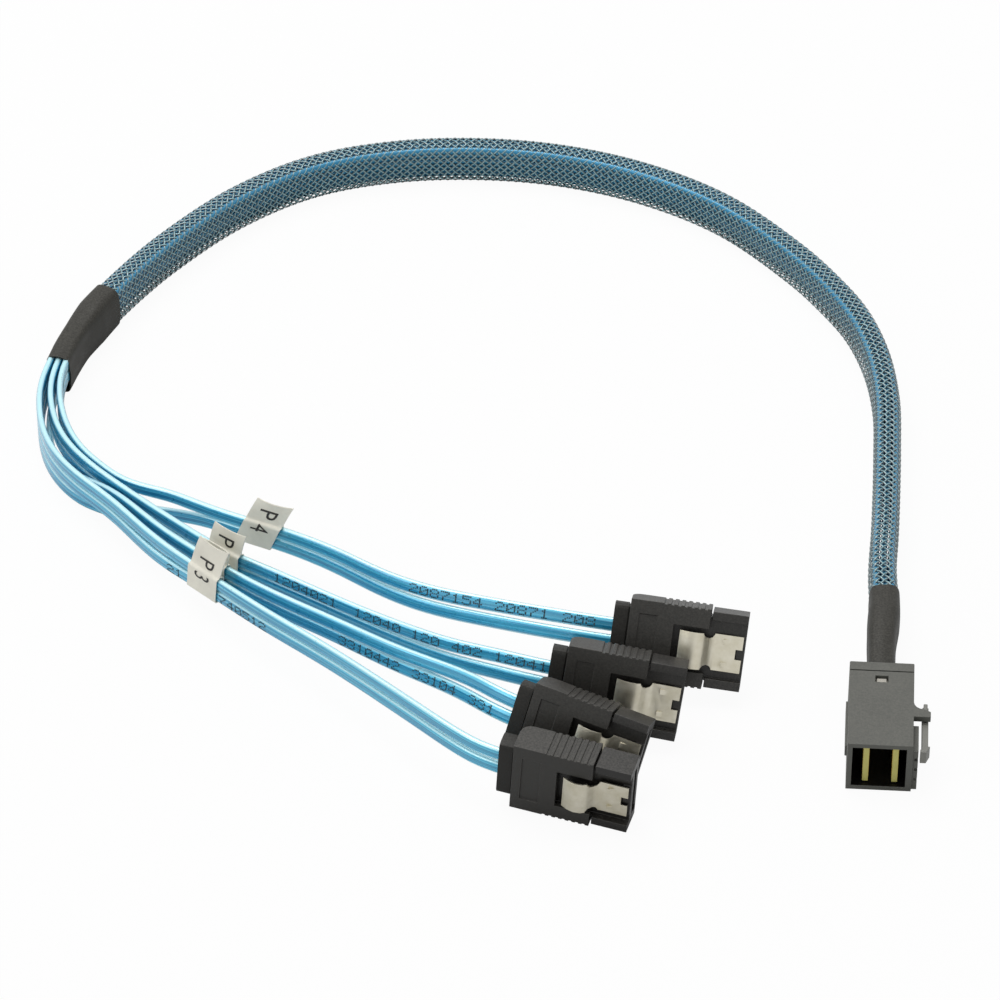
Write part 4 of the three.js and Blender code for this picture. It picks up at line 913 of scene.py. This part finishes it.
# %% Worn edges and dust
wear_group, given, out = new_group("worn_edges", {"Width": 0.00015, "Amount": 0.5}, ["Mask"])
normal = add(wear_group, "NewGeometry").outputs["Normal"]
soft = add(wear_group, "Bevel", samples=6, Radius=given.outputs["Width"]).outputs["Normal"]
turned = add(wear_group, "VectorMath", operation="DOT_PRODUCT", i0=normal, i1=soft).outputs["Value"]
edge = calc(wear_group, "MULTIPLY", calc(wear_group, "SUBTRACT", 1.0, turned), 6.0, clamp=True)
coords = add(wear_group, "TexCoord").outputs["Object"]
broken = add(wear_group, "TexNoise", Vector=coords, Scale=900.0, Detail=4.0).outputs[0]
broken = calc(wear_group, "MULTIPLY_ADD", broken, 3.0, -1.0, clamp=True)
edge = calc(wear_group, "MULTIPLY", edge, broken)
mask = calc(wear_group, "MULTIPLY", edge, given.outputs["Amount"])
wear_group.links.new(mask, out.inputs["Mask"])

dust_group, given, out = new_group("settled_dust", {"Amount": 0.3}, ["Mask"])
normal = add(dust_group, "NewGeometry").outputs["Normal"]
upwards = add(dust_group, "SeparateXYZ", Vector=normal).outputs["Z"]
coords = add(dust_group, "TexCoord").outputs["Object"]
specks = add(dust_group, "TexNoise", Vector=coords, Scale=2600.0, Detail=5.0, Roughness=0.7).outputs[0]
specks = calc(dust_group, "MULTIPLY_ADD", specks, 2.4, -0.9, clamp=True)
lying = calc(dust_group, "MULTIPLY", calc(dust_group, "MAXIMUM", upwards, 0.0), specks)
mask = calc(dust_group, "MULTIPLY", lying, given.outputs["Amount"])
dust_group.links.new(mask, out.inputs["Mask"])
print("groups:", wear_group.name, dust_group.name)

# %% [markdown]
# ## Moulded plastics, rubber and paper
#
# Every dull finish has the same build: a base colour that the blotches darken and lighten, a paler tone
# along worn edges, a trace of dust, a roughness that follows the blotches, and the grain as a bump. Only
# the numbers differ from one finish to the next, so one function makes them all from a table.

# %% Dull finishes
def linear(red, green, blue):
    """Linear colour from the 0 to 255 numbers of a colour picker."""
    parts = [value / 255 for value in (red, green, blue)]
    return tuple(p / 12.92 if p <= 0.04045 else ((p + 0.055) / 1.055) ** 2.4 for p in parts) + (1.0,)


def grouped(tree, group, **inputs):
    node = add(tree, "Group", node_tree=group)
    for label, value in inputs.items():
        node.inputs[label].default_value = value
    return node.outputs[0]


def mixed(tree, factor, first, second):
    return add(tree, "Mix", data_type="RGBA", i0=factor, i6=first, i7=second).outputs[2]


def feed(shader, label, value):
    shader.id_data.links.new(value, shader.inputs[label])


def new_material(name):
    material = bpy.data.materials.new(name)
    material.use_nodes = True
    tree = material.node_tree
    return material, tree, tree.nodes["Principled BSDF"]


def dull_finish(name, base, light, rough, grain, depth, wear, dust, specular):
    material, tree, shader = new_material(name)
    blotch = grouped(tree, blotch_group, Scale=170, Contrast=1.3)
    edge = grouped(tree, wear_group, Width=0.00018, Amount=wear)
    lying = grouped(tree, dust_group, Amount=dust)
    dark, pale = (tuple(value * share for value in linear(*base)[:3]) + (1.0,) for share in (0.86, 1.14))
    colour = mixed(tree, blotch, dark, pale)
    colour = mixed(tree, edge, colour, linear(*light))
    colour = mixed(tree, lying, colour, linear(150, 146, 138))
    feed(shader, "Base Color", colour)
    low = calc(tree, "MULTIPLY_ADD", blotch, 0.16, rough - 0.08)
    feed(shader, "Roughness", calc(tree, "MULTIPLY_ADD", edge, -0.12, low))
    height = grouped(tree, grain_group, Scale=grain, Coarse=0.4)
    feed(shader, "Normal", add(tree, "Bump", Strength=0.55, Distance=depth, Height=height).outputs["Normal"])
    shader.inputs["Specular IOR Level"].default_value = specular
    return material


DULL_FINISHES = {  # colour, colour of worn edges, roughness, grain, depth, wear, dust, specular
    "plug_black_plastic": ((40, 39, 36), (98, 97, 92), 0.42, 4200, 0.00002, 0.5, 0.25, 0.4),
    "housing_black_plastic": ((26, 25, 23), (90, 88, 84), 0.36, 5200, 0.00001, 0.5, 0.25, 0.4),
    "boot_rubber": ((27, 26, 23), (66, 64, 58), 0.55, 5000, 0.000012, 0.3, 0.15, 0.3),
    "plug_grey_plastic": ((88, 89, 84), (132, 133, 126), 0.48, 4200, 0.00002, 0.5, 0.25, 0.35),
    # painted shade: a near-black finish for the faces inside the mouth of the grey shell
    "cavity_painted_shade": ((17, 16, 15), (60, 60, 56), 0.4, 4200, 0.00002, 0.3, 0.0, 0.2),
    "side_latch_plastic": ((122, 122, 116), (165, 165, 158), 0.45, 3800, 0.00002, 0.5, 0.25, 0.5),
    "wire_holder_plastic": ((186, 182, 172), (210, 206, 198), 0.6, 3000, 0.00003, 0.5, 0.25, 0.5),
    "heat_shrink_skin": ((33, 32, 26), (58, 56, 48), 0.5, 3400, 0.00002, 0.4, 0.2, 0.3),
    "label_paper": ((233, 230, 217), (240, 238, 230), 0.8, 1500, 0.00002, 0.3, 0.1, 0.5),
    "label_ink": ((38, 36, 34), (60, 58, 54), 0.6, 3000, 0.00001, 0.0, 0.1, 0.5),
    "ribbon_ink": ((24, 62, 74), (50, 90, 104), 0.5, 3000, 0.00001, 0.0, 0.05, 0.5),
}
DULL = {name: dull_finish(name, *numbers) for name, numbers in DULL_FINISHES.items()}
print("dull finishes made")

# %% [markdown]
# ## Sheet steel and gold
#
# The latches are stamped from spring steel and rubbed bright, so the sheet has a fine brush along the
# plug and a faint warm stain. Brushing is a noise stretched thirty times along one axis of the object.
# The plugs are turned on the table, and the brush is fine enough that its direction is not missed. The
# contacts and the pads are gold over nickel, smoother and warmer, with the same build.

# %% Metals
def metal_finish(name, base, stain, rough, stretch):
    material, tree, shader = new_material(name)
    coords = add(tree, "TexCoord").outputs["Object"]
    brushed = add(tree, "Mapping", Vector=coords, Scale=(stretch, 2600, 2600)).outputs[0]
    lines = add(tree, "TexNoise", Vector=brushed, Scale=1.0, Detail=4.0).outputs[0]
    blotch = grouped(tree, blotch_group, Scale=420, Contrast=1.6)
    feed(shader, "Base Color", mixed(tree, blotch, base, stain))
    feed(shader, "Roughness", calc(tree, "MULTIPLY_ADD", lines, 0.22, rough))
    feed(shader, "Normal", add(tree, "Bump", Strength=0.35, Distance=0.00001, Height=lines).outputs["Normal"])
    shader.inputs["Metallic"].default_value = 1.0
    return material


STEEL = metal_finish("latch_steel_sheet", linear(214, 210, 196), linear(186, 180, 158), 0.27, 90)
GOLD = metal_finish("contact_gold", linear(232, 190, 96), linear(206, 160, 70), 0.18, 400)

# %% [markdown]
# ## Circuit board
#
# The boards stand on edge in the mouth of the plug, so what shows is the cut edge of the laminate:
# yellowish glass cloth and resin in thin layers. Layers are a wave across the board's thickness.

# %% Circuit board
BOARD, tree, shader = new_material("board_laminate")
coords = add(tree, "TexCoord").outputs["Object"]
layers = add(tree, "TexWave", Vector=coords, Scale=1500.0, Distortion=2.0, Detail=2.0).outputs[1]
blotch = grouped(tree, blotch_group, Scale=300, Contrast=1.4)
colour = mixed(tree, layers, linear(204, 198, 108), linear(178, 172, 88))
colour = mixed(tree, calc(tree, "MULTIPLY", blotch, 0.4), colour, linear(222, 214, 140))
feed(shader, "Base Color", colour)
feed(shader, "Roughness", calc(tree, "MULTIPLY_ADD", blotch, 0.2, 0.35))
feed(shader, "Normal", add(tree, "Bump", Strength=0.4, Distance=0.00002, Height=layers).outputs["Normal"])
print("metals and board made")

# %% [markdown]
# ## Ribbon film
#
# Clear blue film over bright foil: the foil gives soft streaks along the run and small creases across
# it, the film gives a sharp gloss. The pattern has to follow the ribbon round its bends, so it is read
# from the two values that the sweep stored on every ring. The waist between the two wires is darkened as
# painted shade, and both edges of the ribbon are lightened to near white as a painted highlight. Inside
# the braid, the first part of the run, the film is darkened as painted shade of the braid and loses the
# shine of its coat.

# %% Ribbon film
SLEEVE_REACH = 0.312
FILM, tree, shader = new_material("ribbon_film")
along = add(tree, "Attribute", attribute_name="along").outputs["Fac"]
around = add(tree, "Attribute", attribute_name="around").outputs["Fac"]
turn = calc(tree, "MULTIPLY_ADD", around, 2 * math.pi, math.pi / 20)
height = calc(tree, "SINE", turn)
far = calc(tree, "ABSOLUTE", height)
across = calc(tree, "COSINE", turn)
def film_noise(stretch, detail, roughness):
    """Noise with its own stretch along the ribbon, up its face and through it."""
    steps = (calc(tree, "MULTIPLY", value, s) for value, s in zip((along, height, across), stretch))
    place = add(tree, "CombineXYZ", **dict(zip("XYZ", steps))).outputs[0]
    return add(tree, "TexNoise", Vector=place, Scale=1.0, Detail=detail, Roughness=roughness).outputs[0]


streak = film_noise((26.0, 3.2, 2.2), 3.0, 0.55)
crease = film_noise((620.0, 1.3, 1.3), 2.0, 0.5)
# Painted shade: the waist between the two wires is darkened.
waist = calc(tree, "SUBTRACT", 1.0, calc(tree, "MULTIPLY", far, 2.6), clamp=True)
# Painted highlight: both edges of the ribbon are lightened to near white.
painted_light_rim = calc(tree, "MULTIPLY_ADD", far, 5.0, -3.4, clamp=True)
foil = calc(tree, "MULTIPLY_ADD", streak, 4.0, -1.5, clamp=True)
colour = mixed(tree, foil, linear(14, 138, 186), linear(96, 210, 240))
colour = mixed(tree, calc(tree, "MULTIPLY", waist, 0.5), colour, linear(24, 116, 156))
colour = mixed(tree, calc(tree, "MULTIPLY", painted_light_rim, 0.85), colour, linear(206, 248, 255))
# Painted shade of the braid: the run inside the sleeve is darkened, and its coat is taken off.
inside = calc(tree, "MULTIPLY_ADD", along, -150.0, 150 * SLEEVE_REACH, clamp=True)
colour = mixed(tree, calc(tree, "MULTIPLY", inside, 0.92), colour, linear(14, 124, 168))
feed(shader, "Base Color", colour)
feed(shader, "Coat Weight", calc(tree, "MULTIPLY_ADD", inside, -0.8, 1.0))
feed(shader, "Roughness", calc(tree, "MULTIPLY_ADD", crease, 0.22, 0.2))
depth = calc(tree, "MULTIPLY_ADD", streak, 0.6, calc(tree, "MULTIPLY", crease, 0.4))
feed(shader, "Normal", add(tree, "Bump", Strength=0.5, Distance=0.00008, Height=depth).outputs["Normal"])
shader.inputs["Metallic"].default_value = 0.35
shader.inputs["Coat Roughness"].default_value = 0.1

# %% Braid filament
FILAMENT, tree, shader = new_material("braid_filament")
across = calc(tree, "ABSOLUTE", add(tree, "Attribute", attribute_name="across").outputs["Fac"])
blotch = grouped(tree, blotch_group, Scale=700, Contrast=1.8)
# The slow blotches mix teal with a pale tone, and the pale is a painted highlight on the strands.
colour = mixed(tree, blotch, linear(72, 142, 158), linear(150, 206, 214))
# Painted shade: both edges of every strand are darkened, which leaves a painted highlight line down its
# middle.
painted_light_rim = calc(tree, "MULTIPLY_ADD", across, 2.6, -0.5, clamp=True)
colour = mixed(tree, painted_light_rim, colour, linear(26, 46, 46))
feed(shader, "Base Color", colour)
feed(shader, "Roughness", calc(tree, "MULTIPLY_ADD", blotch, 0.2, 0.18))
feed(shader, "Normal", add(tree, "Bump", Strength=0.4, Distance=0.00002, Height=blotch).outputs["Normal"])
shader.inputs["Specular IOR Level"].default_value = 0.8
shader.inputs["Coat Weight"].default_value = 0.8
shader.inputs["Coat Roughness"].default_value = 0.15
print("film and filament made")

# %% Materials on the pieces
def dress(piece, material):
    piece.data.materials.clear()
    piece.data.materials.append(material)


FINISHES = {
    **DULL, "latch_steel_sheet": STEEL, "contact_gold": GOLD, "board_laminate": BOARD,
    "ribbon_film": FILM, "braid_filament": FILAMENT,
}
SHAPE_FINISHES = {
    "hood": "plug_black_plastic", "housing": "housing_black_plastic", "boot": "boot_rubber",
    "latch": "latch_steel_sheet", "contacts": "contact_gold", "hd_shell": "plug_grey_plastic",
    "hd_rear_cap": "plug_grey_plastic", "hd_wire_block": "wire_holder_plastic",
    "hd_latch": "side_latch_plastic", "hd_board_left": "board_laminate", "hd_board_right": "board_laminate",
}
for (shape, port), piece in PLUG_PIECES.items():
    dress(piece, FINISHES[SHAPE_FINISHES[shape]])
for node, piece in HD_PIECES.items():
    dress(piece, FINISHES[SHAPE_FINISHES[node]])
for finish, pieces in {
    "contact_gold": [board_pads], "ribbon_film": RIBBONS.values(), "braid_filament": BRAID,
    "heat_shrink_skin": [plug_tube, breakout_tube], "label_paper": LABEL_PIECES.values(),
    "label_ink": LETTER_PIECES, "ribbon_ink": MARK_PIECES,
}.items():
    for piece in pieces:
        dress(piece, FINISHES[finish])

# Painted shade in the mouth of the grey shell: its faces inside the cavity get the near-black finish.
CAVITY_LOW, CAVITY_HIGH = (0.0008, 0.0002, 0.0008), (0.0104, 0.0107, 0.0098)
shell = HD_PIECES["hd_shell"]
shell.data.materials.append(FINISHES["cavity_painted_shade"])
to_plug = HD_MATRIX.inverted()
for face in shell.data.polygons:
    place = to_plug @ face.center
    if all(low < value < high for low, value, high in zip(CAVITY_LOW, place, CAVITY_HIGH)):
        face.material_index = 1

# %% [markdown]
# ## Table, light and background
#
# The photo has a white ground with hardly a shadow: a light tent, or a table lit from all round. The
# table is white and soft, and part of what the camera sees of it is its own white, so that only a
# trace of the shadow stays. A wide lamp above and a weaker one from the left do the rest.

# %% Table
bpy.ops.object.select_all(action="DESELECT")
bpy.ops.mesh.primitive_plane_add(size=6, location=(0, 0, -0.0002))
table = bpy.context.object
table.name = "white_table"
TABLE_WHITE, tree, shader = new_material("table_white")
shader.inputs["Base Color"].default_value = (0.86, 0.86, 0.86, 1.0)
shader.inputs["Roughness"].default_value = 0.9
shader.inputs["Specular IOR Level"].default_value = 0.1
seen = add(tree, "LightPath").outputs["Is Camera Ray"]
white = add(tree, "Emission", Color=(1.0, 1.0, 1.0, 1.0), Strength=1.0).outputs[0]
share = calc(tree, "MULTIPLY", seen, 0.95)
blend = add(tree, "MixShader", i0=share, i1=shader.outputs[0], i2=white).outputs[0]
tree.links.new(blend, tree.nodes["Material Output"].inputs["Surface"])
dress(table, TABLE_WHITE)

# %% World
world = bpy.data.worlds.new("light_tent")
bpy.context.scene.world = world
world.use_nodes = True
tree = world.node_tree
paths = add(tree, "LightPath").outputs
bounced = calc(tree, "MAXIMUM", paths["Is Glossy Ray"], paths["Is Transmission Ray"])
shown = calc(tree, "MAXIMUM", paths["Is Camera Ray"], bounced)
ROOM_LIGHT = 0.4
tree.nodes["Background"].inputs["Color"].default_value = (1.0, 1.0, 1.0, 1.0)
level = calc(tree, "MULTIPLY_ADD", shown, 1 - ROOM_LIGHT, ROOM_LIGHT)
tree.links.new(level, tree.nodes["Background"].inputs["Strength"])

# %% Lamps
def soft_lamp(name, place, target, size, power):
    lamp = bpy.data.objects.new(name, bpy.data.lights.new(name, "AREA"))
    lamp.data.shape = "DISK"
    lamp.data.size = size
    lamp.data.energy = power
    lamp.location = place
    lamp.rotation_euler = (Vector(place) - Vector(target)).to_track_quat("Z", "Y").to_euler()
    bpy.context.scene.collection.objects.link(lamp)
    return lamp


soft_lamp("lamp_above", (-0.15, 0.25, 0.9), (0, 0, 0), 0.7, 5.2)
soft_lamp("lamp_left", (-0.8, -0.5, 0.5), (0, 0, 0), 0.6, 1.4)
